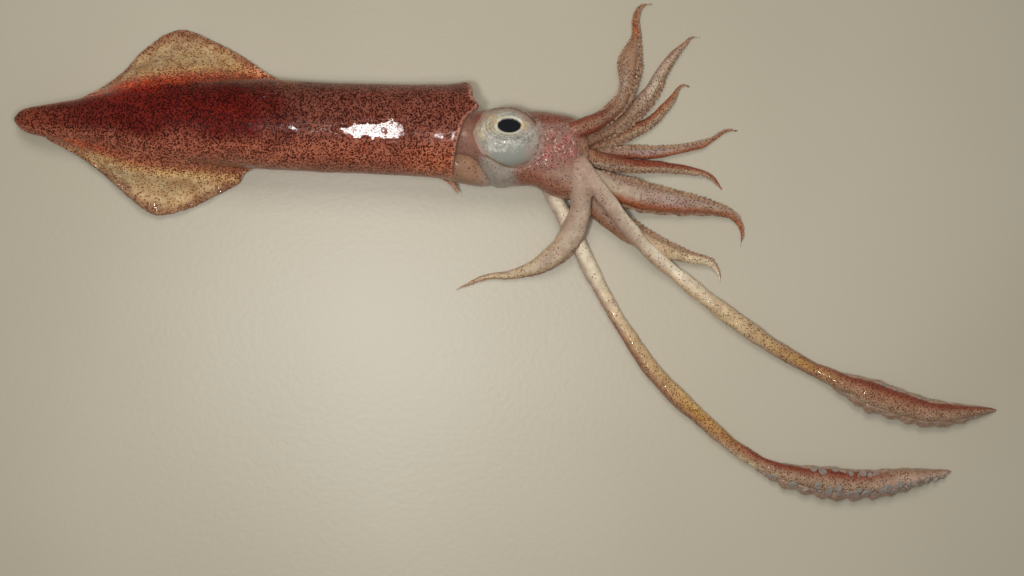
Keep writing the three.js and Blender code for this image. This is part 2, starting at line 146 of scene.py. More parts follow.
def soft_section(angle):
    """Shares of the half width and half height of a soft section, at an angle from straight up."""
    side, up = np.sin(angle), np.cos(angle)
    side = np.sign(side) * np.abs(side) ** (2 / SOFT_SQUARE)
    up = np.sign(up) * np.abs(up) ** (2 / SOFT_SQUARE)
    return side, np.maximum(up, -FLAT_SHARE)


def curve_through(points, t, centripetal=True):
    """Points and directions at shares t of a smooth curve through points, and its length up to each."""
    points = np.array(points, float)
    ends = [2 * points[0] - points[1], 2 * points[-1] - points[-2]]
    padded = np.vstack([ends[0], points, ends[1]])

    def at(share):
        place = np.clip(share, 0, 1) * (len(points) - 1)
        i = np.minimum(place.astype(int), len(points) - 2)
        w = (place - i)[:, None]
        a, b, c, d = padded[i], padded[i + 1], padded[i + 2], padded[i + 3]
        if not centripetal:
            first, second = (c - a) / 2, (d - b) / 2
        else:
            gaps = [np.sqrt(np.linalg.norm(q - p, axis=1))[:, None] for p, q in ((a, b), (b, c), (c, d))]
            first = ((b - a) / gaps[0] - (c - a) / (gaps[0] + gaps[1]) + (c - b) / gaps[1]) * gaps[1]
            second = ((c - b) / gaps[1] - (d - b) / (gaps[1] + gaps[2]) + (d - c) / gaps[2]) * gaps[1]
        return (
            b + first * w + (-3 * b + 3 * c - 2 * first - second) * w**2
            + (2 * b - 2 * c + first + second) * w**3
        )

    step = 1e-4
    spot, ahead, behind = at(t), at(np.minimum(t + step, 1)), at(np.maximum(t - step, 0))
    direction = ahead - behind
    direction /= np.linalg.norm(direction, axis=1)[:, None]
    run = np.concatenate([[0], np.cumsum(np.linalg.norm(np.diff(spot, axis=0), axis=1))])
    return spot, direction, run


def wander(points, size, seed=0.0, octaves=3):
    """Smooth random values, one for each point, of features about size across."""
    offset = Vector((seed, -seed, 2 * seed))
    return np.array([noise.fractal(Vector(p) / size + offset, 1.0, 2.0, octaves) for p in points])


# ---------- Meshes ----------
def loft(rings):
    """Vertices and faces of a closed surface through rings of equally many points."""
    rings = np.asarray(rings, float)
    count, sides = rings.shape[:2]
    points = np.vstack([rings.reshape(-1, 3), rings[0].mean(axis=0), rings[-1].mean(axis=0)])
    faces = []
    for r in range(count - 1):
        for s in range(sides):
            a, b = r * sides + s, r * sides + (s + 1) % sides
            faces.append((a, b, b + sides, a + sides))
    first, last, base = len(points) - 2, len(points) - 1, (count - 1) * sides
    for s in range(sides):
        after = (s + 1) % sides
        faces.append((first, after, s))
        faces.append((last, base + s, base + after))
    return points, faces


def mesh_object(name, shapes):
    """One object from several (points in mm, faces) shapes."""
    points, faces, shift = [], [], 0
    for shape_points, shape_faces in shapes:
        points.append(np.asarray(shape_points) * MM)
        faces += [tuple(i + shift for i in face) for face in shape_faces]
        shift += len(shape_points)
    mesh = bpy.data.meshes.new(name)
    mesh.from_pydata(np.vstack(points).tolist(), [], faces)
    mesh.validate()
    piece = bpy.data.objects.new(name, mesh)
    bpy.context.scene.collection.objects.link(piece)
    return piece


def bake_modifiers(piece):
    """Replace a piece's mesh by what its modifiers make of it."""
    bpy.context.view_layer.update()
    made = bpy.data.meshes.new_from_object(piece.evaluated_get(bpy.context.evaluated_depsgraph_get()))
    old = piece.data
    piece.modifiers.clear()
    piece.data = made
    bpy.data.meshes.remove(old)
    made.name = piece.name


def facing_out(piece):
    """Turn every face of a closed piece outwards."""
    bpy.context.view_layer.objects.active = piece
    piece.select_set(True)
    bpy.ops.object.mode_set(mode="EDIT")
    bpy.ops.mesh.select_all(action="SELECT")
    bpy.ops.mesh.normals_make_consistent(inside=False)
    bpy.ops.object.mode_set(mode="OBJECT")
    piece.select_set(False)


def flesh(name, shapes, voxel, rounds):
    """Closed shapes grown together into one even skin, with its creases softened."""
    piece = mesh_object(name, shapes)
    facing_out(piece)
    joined = piece.modifiers.new("joined", "REMESH")
    joined.mode = "VOXEL"
    joined.voxel_size = voxel * MM
    soft = piece.modifiers.new("soft", "SMOOTH")
    soft.factor = 0.5
    soft.iterations = rounds
    bake_modifiers(piece)
    return piece


def get_points(piece):
    flat = np.empty(len(piece.data.vertices) * 3)
    piece.data.vertices.foreach_get("co", flat)
    return flat.reshape(-1, 3) / MM


def set_points(piece, points):
    piece.data.vertices.foreach_set("co", (kept_above(points) * MM).ravel())
    piece.data.update()


def get_normals(piece):
    flat = np.empty(len(piece.data.vertices) * 3)
    piece.data.vertex_normals.foreach_get("vector", flat)
    return flat.reshape(-1, 3)


def set_field(piece, name, values):
    """Store one number, or one colour, for each vertex."""
    values = np.asarray(values, float)
    if values.ndim == 1:
        piece.data.attributes.new(name, "FLOAT", "POINT").data.foreach_set("value", values)
        return
    rgba = np.column_stack([values, np.ones(len(values))])
    piece.data.attributes.new(name, "FLOAT_COLOR", "POINT").data.foreach_set("color", rgba.ravel())


def carry_over(sources, values, targets, nearest=3):
    """Values at targets, blended from the nearest of the source points."""
    tree = kdtree.KDTree(len(sources))
    for i, point in enumerate(sources):
        tree.insert(point, i)
    tree.balance()
    found = [tree.find_n(point, nearest) for point in targets]
    index = np.array([[hit[1] for hit in hits] for hits in found])
    weight = 1 / (0.05 + np.array([[hit[2] for hit in hits] for hits in found]))
    weight /= weight.sum(axis=1, keepdims=True)
    return (np.asarray(values)[index] * weight[:, :, None]).sum(axis=1)


def finish_piece(piece, material, slot, *nodes):
    piece.data.materials.clear()
    piece.data.materials.append(material)
    piece.data.shade_smooth()
    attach(piece, "root")
    if nodes:
        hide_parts(*nodes)
    return piece


# ---------- Colours ----------
def linear(red, green, blue):
    """A colour given as it shows on a screen, 0 to 255, as linear light."""
    share = np.array([red, green, blue]) / 255
    return np.where(share <= 0.04045, share / 12.92, ((share + 0.055) / 1.055) ** 2.4)


TONES = {
    "wine": linear(76, 17, 10),
    "maroon": linear(128, 60, 42),
    "brick": linear(122, 17, 5),
    "rust": linear(160, 92, 60),
    "umber": linear(150, 106, 80),
    "plum": linear(90, 47, 37),
    "copper": linear(124, 68, 50),
    "rose": linear(168, 92, 88),
    "lilac": linear(162, 134, 124),
    "mauve": linear(172, 145, 128),
    "grey": linear(186, 168, 148),
    "pearl": linear(226, 214, 190),
    "sand": linear(194, 168, 132),
    "amber": linear(190, 148, 92),
    "honey": linear(168, 122, 64),
    "blush": linear(174, 122, 104),
    "fin": linear(188, 160, 120),
    "steel": linear(172, 172, 166),
    "silver": linear(226, 224, 214),
    "gold": linear(214, 180, 116),
    "cream": linear(226, 216, 190),
    "tan": linear(190, 152, 122),
    "dusk": linear(140, 104, 84),
    "olive": linear(96, 78, 44),
    "ash": linear(142, 106, 92),
    "ember": linear(170, 60, 22),
    "clay": linear(154, 122, 98),
    "haze": linear(154, 156, 148),
}


def plain(tone, points):
    """The same named tone for each point."""
    return np.tile(TONES[tone], (len(points), 1))


def lit(colour, gain):
    """Rows of colours made darker or lighter, each by its own gain."""
    return colour * gain[:, None]


def tone_mix(base, *layers):
    """Blend rows of colours towards named tones, one layer of (name, amount) after another."""
    for name, amount in layers:
        base = base + (TONES[name] - base) * np.clip(amount, 0, 1)[:, None]
    return base


# ---------- Mantle and fins ----------
# How sharply the lobe and the lip set in towards the rim, and how far the curl lifts.
LOBE_ONSET, LIP_ONSET, CURL_LIFT = 16, 80, 0.7
# Where a fin is rooted, as shares of the half width and half height, how deep, and how thick it is.
FIN_ROOT_OUT, FIN_ROOT_UP, FIN_SUNK = 0.6, 0.72, 0.65
FIN_THICK_ROOT, FIN_THICK_EDGE = 2.2, 0.95
mantle_y = along(MANTLE_STATIONS, 1)
mantle_share = along(MANTLE_STATIONS, 2)
mantle_clearance = along(MANTLE_STATIONS, 3)


def mantle_x(share):
    return TAIL_X + share * MANTLE_LENGTH


def mantle_half_height(share):
    return mantle_share(share) * MANTLE_HEIGHT / (1 + FLAT_SHARE)


def mantle_z(share):
    return np.maximum(0, mantle_clearance(share)) + FLAT_SHARE * mantle_half_height(share)


class OnMantle:
    """Where points lie on the mantle: share of its length, how far across and up as shares of its half width
    and half height, roll in degrees from straight up, and how far out beyond its side."""

    def __init__(self, points):
        self.x, self.y, self.z = points.T
        self.share = np.clip((self.x - TAIL_X) / MANTLE_LENGTH, 0, 1)
        half_width = mantle_share(self.share) * MANTLE_WIDTH / 2
        self.across = (self.y - mantle_y(self.share)) / half_width
        self.upward = (self.z - mantle_z(self.share)) / mantle_half_height(self.share)
        self.roll = np.degrees(np.arctan2(self.across, self.upward))
        self.beyond = np.maximum(0, np.abs(self.y - mantle_y(self.share)) - half_width)


def rim_bump(angle, middle, width):
    """How much of a bump of the rim shows at an angle. Its middle and width are in degrees."""
    away = (angle - math.radians(middle) + math.pi) % (2 * math.pi) - math.pi
    return bell(away, math.radians(width))


def mantle_rings(shares, inset, sides=144):
    """Rings of the mantle, inset from its skin. The rim runs out into a lobe, a curl and a spur."""
    angle = turns(sides)
    side, up = soft_section(angle)
    curl = rim_bump(angle, RIM_CURL_AT, RIM_CURL_WIDTH)
    lobe = RIM_LOBE * rim_bump(angle, RIM_LOBE_AT, RIM_LOBE_WIDTH) + RIM_CURL * curl
    spur = RIM_SPUR * rim_bump(angle, RIM_SPUR_AT, RIM_SPUR_WIDTH)
    flare = RIM_FLARE * rim_bump(angle, RIM_FLARE_AT, RIM_FLARE_WIDTH)
    rings = []
    for share in shares:
        half_width = mantle_share(share) * MANTLE_WIDTH / 2 - inset
        half_height = mantle_half_height(share) - inset
        at_tip = 0 if inset > WALL else share**LIP_ONSET
        x = mantle_x(share) + (lobe + spur * at_tip / 4) * share**LOBE_ONSET
        y = mantle_y(share) + side * half_width + (flare - spur) * at_tip
        z = mantle_z(share) + up * half_height + CURL_LIFT * curl * at_tip
        rings.append(np.column_stack([x, y, np.maximum(inset, z)]))
    return rings


def mantle_sleeve():
    body = np.concatenate([np.linspace(0, 0.06, 12), np.linspace(0.07, 0.96, 130), np.linspace(0.965, 1, 14)])
    lip = [mantle_rings([1.004], WALL * share)[0] for share in (0.12, 0.4, 0.75)]
    inside = [mantle_rings([1 - depth * SLEEVE_DEPTH / MANTLE_LENGTH], WALL * (1 + 0.4 * depth))[0]
              for depth in np.linspace(0, 1, 14)]
    return loft([*mantle_rings(body, 0), *lip, *inside])


def fin(name, side, front_share):
    """A fin: a blade that drapes over the flank and lies down towards its edge, which is a little frilled."""
    steps, spans = 150, np.linspace(0, 1, 30)
    t = np.linspace(0, 1, steps)
    out, _, _ = curve_through(FIN_EDGES[name], t, centripetal=False)
    share = lerp(0.05, front_share, t)
    half_width, half_height = mantle_share(share) * MANTLE_WIDTH / 2, mantle_half_height(share)
    root_y = mantle_y(share) + side * half_width * FIN_ROOT_OUT
    root_z = mantle_z(share) + half_height * FIN_ROOT_UP - FIN_SUNK
    frill = 0.35 * np.sin(61 * t + side) + 0.25 * np.sin(23 * t)
    edge_z = 1.4 + 0.8 * (1 + np.sin(9 * t + side)) + 3.5 * smooth(4 * t - 3) + frill
    rings = []
    for i in range(steps):
        x, y = lerp(mantle_x(share[i]), out[i, 0], spans), lerp(root_y[i], out[i, 1], spans)
        z = lerp(root_z[i], edge_z[i], smooth(1.2 * spans))
        across = np.clip(np.abs(y - mantle_y(share[i])) / half_width[i], 0, 1)
        flank = mantle_z(share[i]) + half_height[i] * (1 - across**SOFT_SQUARE) ** (1 / SOFT_SQUARE)
        proud = lerp(-1.1, 0.55, smooth((t[i] - 0.82) / 0.1))
        z = np.where(across < 0.995, np.maximum(z, flank + proud), z)
        thick = lerp(FIN_THICK_ROOT, FIN_THICK_EDGE, spans**0.6) / 2
        top = np.column_stack([x, y, np.maximum(z + thick, 0.4)])
        bottom = np.column_stack([x, y, np.maximum(z - thick, 0.1)])[::-1]
        rings.append(np.vstack([top, bottom]))
    return loft(rings)


def body_tones(at, drift, mottle, back):
    """The mantle's colours: copper, plum towards the back, wine and brick behind, rust at both ends."""
    x, share, roll = at.x, at.share, at.roll
    rear = smooth((0.67 - share + 0.06 * drift) / 0.14)
    towards_tail = smooth((0.3 - share) / 0.25)
    red_roll = bell(roll - 62, 20) * bell(x + 66, 12) + 0.25 * bell(roll - 8, 26) * bell(x + 30, 16)
    near_rim = smooth((share - 0.86) / 0.12)
    colour = tone_mix(
        plain("copper", x),
        ("plum", 0.9 * back),
        ("copper", 0.35 * smooth((roll - 52) / 25)),
        ("wine", rear * smooth((roll + 48 + 14 * drift) / 44) * (1 - 0.3 * towards_tail)),
        ("brick", red_roll * smooth(0.9 + 1.2 * mottle)),
    )
    return tone_mix(
        lit(colour, 1 - 0.32 * bell(x + 24, 22) * back),
        ("rust", 0.12 * smooth((0.16 - share) / 0.16)),
        ("rust", 0.45 * near_rim * smooth((-10 - roll) / 40)),
    )


def fin_tones(colour, at, drift, mottle, on_fin, border):
    """The fins' colours: rust and ember at the root, amber further out, and a brown border."""
    x, y, beyond = at.x, at.y, at.beyond
    belly = y < 0
    outward = beyond * np.where(at.across > 0, 1.0, 1.25)
    root = np.where(y > 0, 0.35 + 0.6 * bell(x + 72, 12), 0.6 * bell(x + 84, 12)) * bell(beyond - 0.4, 1.9)
    root = root * smooth((np.abs(at.across) - 0.85) / 0.15) * smooth((0.64 - at.share) / 0.06)
    colour = tone_mix(
        colour,
        ("rust", 0.7 * on_fin),
        ("ember", root),
        ("amber", 0.75 * smooth((outward - 1.0) / 4.5) * on_fin),
        ("fin", smooth((outward - 2.0) / 6.5) * (0.95 + 0.5 * drift) * on_fin),
        ("umber", 0.3 * on_fin * smooth(1.5 * mottle)),
    )
    colour = lit(colour, 1 + 0.22 * on_fin * belly * smooth((beyond - 1.5) / 3))
    colour = lit(tone_mix(colour, ("umber", 0.8 * border)), 1 - 0.14 * border * belly)
    return tone_mix(colour, ("rust", 0.45 * on_fin * (y > 0) * smooth((x + 36) / 8)))


def fin_border(at, drift):
    """How near points are to the edge of their fin, from 0 to 1."""
    back_edge, belly_edge = [np.interp(at.x, *np.array(FIN_EDGES[name]).T) for name in ("back", "belly")]
    margin = np.where(at.y > 0, back_edge - at.y, at.y - belly_edge)
    return smooth((4.2 + 1.5 * drift - margin) / 3.4)


def mantle_fields(points, normals):
    """Colour, how densely it is dotted, and how thin the flesh is, over the mantle and fins."""
    at = OnMantle(points)
    drift, mottle = wander(points, 9, 3.1), wander(points, 3.5, 8.7)
    back = smooth((at.roll + 44 + 16 * drift) / 54)
    # a paler pink line along the rim: the cut edge of the wall, with a painted highlight along that edge
    pale_lip_and_highlight = smooth((at.x - rim_x(at.roll) + 0.6) / 0.5) * (at.share > 0.9)
    spur = smooth((at.x - 34) / 1.5) * smooth((-16.2 - at.y) / 0.8) * (at.x < 42)
    on_fin = smooth((at.beyond + 0.6) / 2.6) * smooth((np.abs(at.across) - 0.75) / 0.2)
    on_fin = on_fin * smooth((0.67 - at.share) / 0.03)
    border = on_fin * fin_border(at, drift)
    underside = smooth((-normals[:, 2] - 0.3) / 0.5)
    inside = smooth((at.x - mantle_x(1) + 14) / 2) * smooth((0.93 - np.hypot(at.across, at.upward)) / 0.05)
    inside = inside * (at.share > 0.88)
    colour = tone_mix(body_tones(at, drift, mottle, back), ("blush", 0.35 * pale_lip_and_highlight), ("dusk", 0.9 * spur))
    colour = fin_tones(colour, at, drift, mottle, on_fin, border)
    colour = tone_mix(colour, ("sand", 0.6 * underside * (1 - on_fin)), ("pearl", inside))
    thin = on_fin * smooth((at.beyond - 1.5) / 5)
    freckle = lerp(1.0 - 0.06 * (1 - back), 0.5 + 0.2 * mottle + 0.25 * border, thin)
    freckle *= (1 - 0.6 * underside * (1 - thin)) * (1 - inside) * (1 - 0.3 * pale_lip_and_highlight) * (1 - 0.8 * spur)
    return colour, freckle, thin


def rim_x(roll):
    """How far forwards the rim reaches, at angles in degrees from straight up."""
    angle = np.radians(roll)
    curl = RIM_CURL * rim_bump(angle, RIM_CURL_AT, RIM_CURL_WIDTH)
    return mantle_x(1) + RIM_LOBE * rim_bump(angle, RIM_LOBE_AT, RIM_LOBE_WIDTH) + curl


# A nearly level patch on top of the mantle, where the skin sags: middle, half size, and its slope towards +Y.
SAG_AT = np.array([11.9, -2.4])
SAG_HALF = np.array([11.6, 3.4])
SAG_SLOPE = 0.094
SAG_DEPTH = 0.55


def relieve_mantle(piece):
    """Fine relief: a sagging patch on top, shallow folds along the body, and ripples in the fins."""
    points, normals = get_points(piece), get_normals(piece)
    at = OnMantle(points)
    on_body = 1 - smooth(at.beyond / 2)
    lengthwise = wander(points * [0.25, 1, 1], 2.4, 1.7)
    broad = wander(points, 13, 5.2)
    points = points + normals * ((0.07 * lengthwise + 0.22 * broad) * on_body)[:, None]
    top = np.max(at.z[np.abs(at.x - SAG_AT[0]) < 3]) - SAG_DEPTH
    level = top + SAG_SLOPE * (at.y - SAG_AT[1]) + 0.12 * np.maximum(0, wander(points, 1.4, 2.6) - 0.5)
    ragged = wander(points * [1, 1.8, 0], 2.8, 6.4)
    along_patch, across_patch = (at.x - SAG_AT[0]) / SAG_HALF[0], (at.y - SAG_AT[1]) / SAG_HALF[1]
    taper = (1 - 0.75 * smooth((-0.4 - along_patch) / 0.6)) * (1 - 0.5 * smooth((along_patch - 0.55) / 0.45))
    outside = np.maximum(np.abs(along_patch) - 1, 0.35 * (np.abs(across_patch) / taper - 1)) + 0.2 * ragged
    sagged = smooth(-outside / 0.05) * (at.z > 15) * on_body
    points[:, 2] = lerp(points[:, 2], np.minimum(points[:, 2], level), sagged)
    points[:, 2] += 0.4 * wander(points, 6, 9.4) * smooth((at.beyond - 4) / 8)
    set_points(piece, points)


def make_mantle(material):
    shapes = [mantle_sleeve(), fin("back", side=1, front_share=0.62), fin("belly", side=-1, front_share=0.57)]
    piece = flesh("mantle_and_fins", shapes, voxel=0.5, rounds=4)
    relieve_mantle(piece)
    fields = mantle_fields(get_points(piece), get_normals(piece))
    for name, values in zip(("tint", "freckle", "thin"), fields):
        set_field(piece, name, values)
    return finish_piece(piece, material, "mantle_skin", "mantle")


# ---------- Limbs ----------
# route: from inside the head to the tip as (x, y, width), as in the CAD. It leaves the head at the height
# lift and lies down at the share lands. A tentacle's width comes from its stalk and club.
# fringe: how much of the left and right half width is fringe and suckers, and not flesh.
# tones: share of the length, tones of the left flank, the top and the right flank as seen along the limb,
# and how densely it is dotted.
# suckers: a row's angle from straight up, left positive, its suckers' radius, and the share where it starts.
LIMBS = {
    "arm_1_right": dict(
        lift=11, lands=0.56, fringe=(0.5, 0.9),
        route=[
            (73.8, -2.2, 8), (82, 0.9, 6.8), (86.5, 3.9, 6.2), (90, 8, 5.5), (91.9, 12.8, 5.2),
            (92.5, 16.4, 6.8), (92.7, 20.6, 8.1), (93.9, 25.2, 5.7), (94.7, 28.9, 3.5), (94.7, 34.3, 2.7),
            (95.4, 37.4, 2.1), (96.9, 39.1, 1.3), (100, 39.7, 0.6),
        ],
        tones=[
            (0, "maroon umber maroon", 1.0), (0.2, "maroon dusk maroon", 1.0),
            (0.32, "umber clay umber", 0.9), (0.45, "mauve clay umber", 0.75), (0.6, "clay clay umber", 0.4),
            (0.7, "umber clay umber", 0.45), (0.78, "rust rust rust", 0.95), (0.9, "umber umber umber", 0.7),
            (1, "sand umber umber", 0.4),
        ],
        suckers=[(84, 0.5, 0.3), (-82, 0.6, 0.2), (-50, 0.5, 0.42)],
    ),
    "arm_4_right": dict(
        lift=12, lands=0.68, fringe=(0.3, 0),
        route=[
            (75.4, -12.6, 7), (76.7, -20.6, 7), (76.5, -27.6, 7.2), (72.4, -36.6, 7.8), (65, -43.2, 5.9),
            (55, -46.9, 3), (46.7, -47.7, 1.9), (37.1, -51.8, 0.6),
        ],
        tones=[
            (0, "mauve mauve mauve", 0.22), (0.3, "grey grey mauve", 0.2), (0.6, "sand grey sand", 0.4),
            (0.8, "sand sand mauve", 0.45), (1, "umber sand umber", 0.35),
        ],
        suckers=[(100, 0.4, 0.3)],
    ),
    "arm_3_left": dict(
        lift=7, lands=0.62, fringe=(0, 0.9),
        route=[
            (75.9, -9.6, 7), (84.7, -11.4, 5.8), (92.7, -12.3, 4.4), (102.2, -12.6, 3.7), (111.9, -13.8, 2.8),
            (118.3, -15.5, 1.9), (122.2, -19.8, 0.6),
        ],
        tones=[
            (0, "umber umber mauve", 1.0), (0.25, "maroon umber mauve", 1.0),
            (0.45, "maroon maroon sand", 0.95), (0.8, "maroon umber sand", 0.8), (1, "rust rust rust", 0.5),
        ],
        suckers=[(-84, 0.62, 0.12), (-56, 0.5, 0.2)],
    ),
    "arm_3_right": dict(
        lift=8, lands=0.42, fringe=(1.0, 0.7),
        route=[
            (77.1, -14.7, 7.7), (84.6, -18.4, 9.2), (95.7, -22, 9.6), (106.8, -24, 8.2), (117.8, -25.6, 5.6),
            (125.3, -27.9, 3.6), (128.5, -32.3, 1.9), (128.2, -38.1, 0.6),
        ],
        tones=[
            (0, "grey grey grey", 0.12), (0.22, "mauve grey rust", 0.3), (0.5, "mauve lilac rust", 0.65),
            (0.75, "mauve clay rust", 0.8), (0.9, "umber rust rust", 0.6), (1, "rust umber umber", 0.4),
        ],
        suckers=[(84, 0.62, 0.1), (54, 0.52, 0.16)],
    ),
    "arm_1_left": dict(
        lift=5, lands=0.35, fringe=(0, 1.2),
        route=[
            (78.1, -5.3, 7), (87.8, -0.4, 6), (94.2, 4.9, 5.6), (99.4, 11, 5.4), (102.8, 17.2, 4.2),
            (107.1, 23.3, 3), (110.3, 26.6, 1.9), (112.4, 28.8, 1), (115.4, 28.8, 0.6),
        ],
        tones=[
            (0, "dusk dusk umber", 0.6), (0.3, "dusk clay clay", 0.6), (0.6, "mauve grey sand", 0.45),
            (0.8, "umber mauve sand", 0.55), (1, "umber umber umber", 0.5),
        ],
        suckers=[(-84, 0.72, 0.12), (-56, 0.6, 0.2)],
    ),
    "arm_2_left": dict(
        lift=2, lands=0.35, fringe=(0, 1.0),
        route=[
            (78.3, -7.3, 5.8), (88.2, -3.7, 4.8), (93.3, -1.3, 4.2), (98.8, 1.5, 3.9), (104, 6.5, 3.1),
            (106.9, 9.9, 2.3), (108.3, 12.4, 1.3), (109.7, 13.6, 0.9), (112, 13, 0.6),
        ],
        tones=[
            (0, "dusk umber umber", 0.9), (0.4, "maroon umber sand", 0.9), (0.8, "rust umber sand", 0.8),
            (1, "umber umber umber", 0.5),
        ],
        suckers=[(-84, 0.66, 0.12), (-56, 0.52, 0.2)],
    ),
    "arm_2_right": dict(
        lift=2, lands=0.35, fringe=(1.0, 0),
        route=[
            (79.3, -8, 5.1), (89.5, -7.8, 4.6), (98.8, -8, 4.4), (108, -6.9, 3.2), (115.4, -5.3, 2.8),
            (119, -3.6, 1.7), (122.7, -1.1, 1.3), (124.5, -0.6, 0.9), (127.4, -0.8, 0.6),
        ],
        tones=[
            (0, "clay umber maroon", 0.6), (0.4, "lilac lilac rust", 0.7), (0.8, "clay umber rust", 0.7),
            (1, "umber umber umber", 0.5),
        ],
        suckers=[(84, 0.66, 0.12), (54, 0.54, 0.18)],
    ),
    "arm_4_left": dict(
        lift=3, lands=0.3, fringe=(0.9, 0),
        route=[
            (76.6, -18.5, 7.7), (84.2, -26.7, 7.9), (93.8, -33.7, 7.3), (103.8, -38.7, 5.8),
            (111.9, -41.4, 4.2), (118.4, -43, 3), (121.2, -46.7, 1.4), (121.6, -49.6, 0.6),
        ],
        tones=[
            (0, "umber clay umber", 0.5), (0.3, "clay mauve umber", 0.3), (0.7, "sand sand sand", 0.5),
            (1, "sand pearl pearl", 0.2),
        ],
        suckers=[(84, 0.6, 0.14), (56, 0.42, 0.25)],
    ),
    "tentacle_right": dict(
        lift=13, lands=0.34, fringe=(0.4, 1.0),
        route=[
            (75.7, -11.1), (85.5, -24.3), (97.4, -38.3), (111.4, -50), (125.4, -60.9), (141.2, -71.6),
            (156.4, -79.6), (171.6, -86.1), (189.6, -91.2), (210.1, -90.3),
        ],
        tones=[
            (0, "mauve mauve mauve", 0.2), (0.16, "pearl grey mauve", 0.18), (0.3, "pearl pearl sand", 0.25),
            (0.42, "sand sand sand", 0.45), (0.6, "umber honey umber", 0.9), (0.7, "maroon umber clay", 0.95),
            (0.78, "maroon umber clay", 1.0), (0.92, "maroon clay clay", 1.0), (1, "maroon clay clay", 0.7),
        ],
        suckers=[],
    ),
    "tentacle_left": dict(
        lift=4.6, lands=0.2, fringe=(0.4, 1.2),
        route=[
            (66.5, -18.9), (72.5, -29.9), (81.8, -48.6), (90.7, -64.1), (101.5, -79.4), (115.6, -93.1),
            (129.8, -104.6), (145.7, -111.3), (165.6, -113.8), (183.6, -111.8), (195.8, -109.9),
        ],
        tones=[
            (0, "grey pearl grey", 0.04), (0.16, "pearl cream grey", 0.12), (0.3, "sand sand umber", 0.3),
            (0.5, "amber honey umber", 0.65), (0.62, "maroon umber sand", 0.9),
            (0.72, "maroon clay clay", 0.85), (0.84, "maroon clay clay", 0.7), (0.9, "clay mauve mauve", 0.5),
            (1, "clay mauve grey", 0.4),
        ],
        suckers=[],
    ),
}


def limb_height(width):
    return 0.85 * np.minimum(width, LIMB_ROUND) + 0.4 * np.maximum(0, width - LIMB_ROUND)


class Limb:
    """An arm or tentacle: its course, width and height, read at any share of its length."""

    def __init__(self, name, lift, lands, route, tones, fringe, suckers):
        self.name, self.tones, self.fringe, self.suckers = name, tones, fringe, suckers
        t = np.linspace(0, 1, 1500)
        spot, direction, run = curve_through([point[:2] for point in route], t)
        self.length = run[-1]
        self.tentacle = len(route[0]) == 2
        if self.tentacle:
            into_club = (run - (self.length - CLUB_LENGTH)) / CLUB_LENGTH
            leaf = smooth(into_club * 2.6) * np.sqrt(np.clip((1 - into_club) * 1.5, 0, 1))
            stalk = STALK_WIDTH * (1 + 0.08 * np.sin(18 * run / self.length))
            stalk = stalk * (1 - smooth((into_club - 0.6) * 2.5))
            width = stalk + (CLUB_WIDTH - stalk) * leaf
            clear = lift * (1 - smooth(run / self.length / lands))
        else:
            widths = [[i / (len(route) - 1), point[2]] for i, point in enumerate(route)]
            width = along(widths, 1)(t)
            clear = lift * (1 - smooth(t / lands))
        width = np.maximum(width, LIMB_TIP_WIDTH)
        self.data = np.column_stack([spot, direction, width, clear])
        self.shares = run / self.length

    def read(self, share):
        return np.array([np.interp(share, self.shares, column) for column in self.data.T]).T

    def surface(self, share, angle, out=0.0):
        """The skin's point at a share of the length and an angle from straight up, and which way it faces."""
        x, y, dx, dy, width, clear = self.read(share).T
        side, up = soft_section(angle)
        half_height = limb_height(width) / (1 + FLAT_SHARE)
        fringe = np.where(side > 0, *self.fringe) * np.clip(width / USUAL_WIDTH, 0.2, 1.2)
        if self.tentacle:
            into_club = share * self.length - (self.length - CLUB_LENGTH)
            fringe = fringe * smooth(into_club / (0.3 * CLUB_LENGTH))
        reach, rise = side * (width / 2 - fringe + out), up * (half_height + out)
        z = clear + half_height * FLAT_SHARE + rise
        point = np.column_stack([x - dy * reach, y + dx * reach, np.maximum(z, 0.05)])
        facing = np.column_stack([-dy * np.sin(angle), dx * np.sin(angle), np.cos(angle) + 0 * x])
        return point, facing

    def rings(self, step=0.7, sides=30):
        shares = np.linspace(0, 1, max(24, int(self.length / step)))
        angles = turns(sides)
        uneven = 1 + 0.03 * np.sin(shares * self.length / 2.1 + len(self.name))
        rings = np.array([self.surface(shares, np.full(len(shares), angle))[0] for angle in angles])
        middles = np.column_stack([self.read(shares)[:, :2], rings[:, :, 2].mean(axis=0)])
        rings = middles + (rings - middles) * uneven[None, :, None]
        return kept_above(rings.transpose(1, 0, 2)), shares, angles

    def fields(self, shares, angles):
        """Colours and dots on a grid of shares and angles."""
        stops = [stop[0] for stop in self.tones]
        flanks = zip(*[stop[1].split() for stop in self.tones])
        left, top, right = [
            np.column_stack([np.interp(shares, stops, channel) for channel in zip(*map(TONES.get, names))])
            for names in flanks
        ]
        dots = np.interp(shares, stops, [stop[2] for stop in self.tones])
        sideways = np.sin(angles)
        to_left, to_right = smooth(sideways * 1.25), smooth(-sideways * 1.25)
        under = smooth(-np.cos(angles) * 1.6 - 0.2)
        rest = 1 - to_left - to_right
        colour = (
            left[:, None] * to_left[None, :, None] + right[:, None] * to_right[None, :, None]
            + top[:, None] * rest[None, :, None]
        )
        colour = lerp(colour, TONES["sand"], 0.6 * under[None, :, None])
        freckle = dots[:, None] * (1 - 0.7 * under[None, :])
        return np.concatenate([colour, freckle[:, :, None]], axis=2)


limbs = {name: Limb(name, **spec) for name, spec in LIMBS.items()}


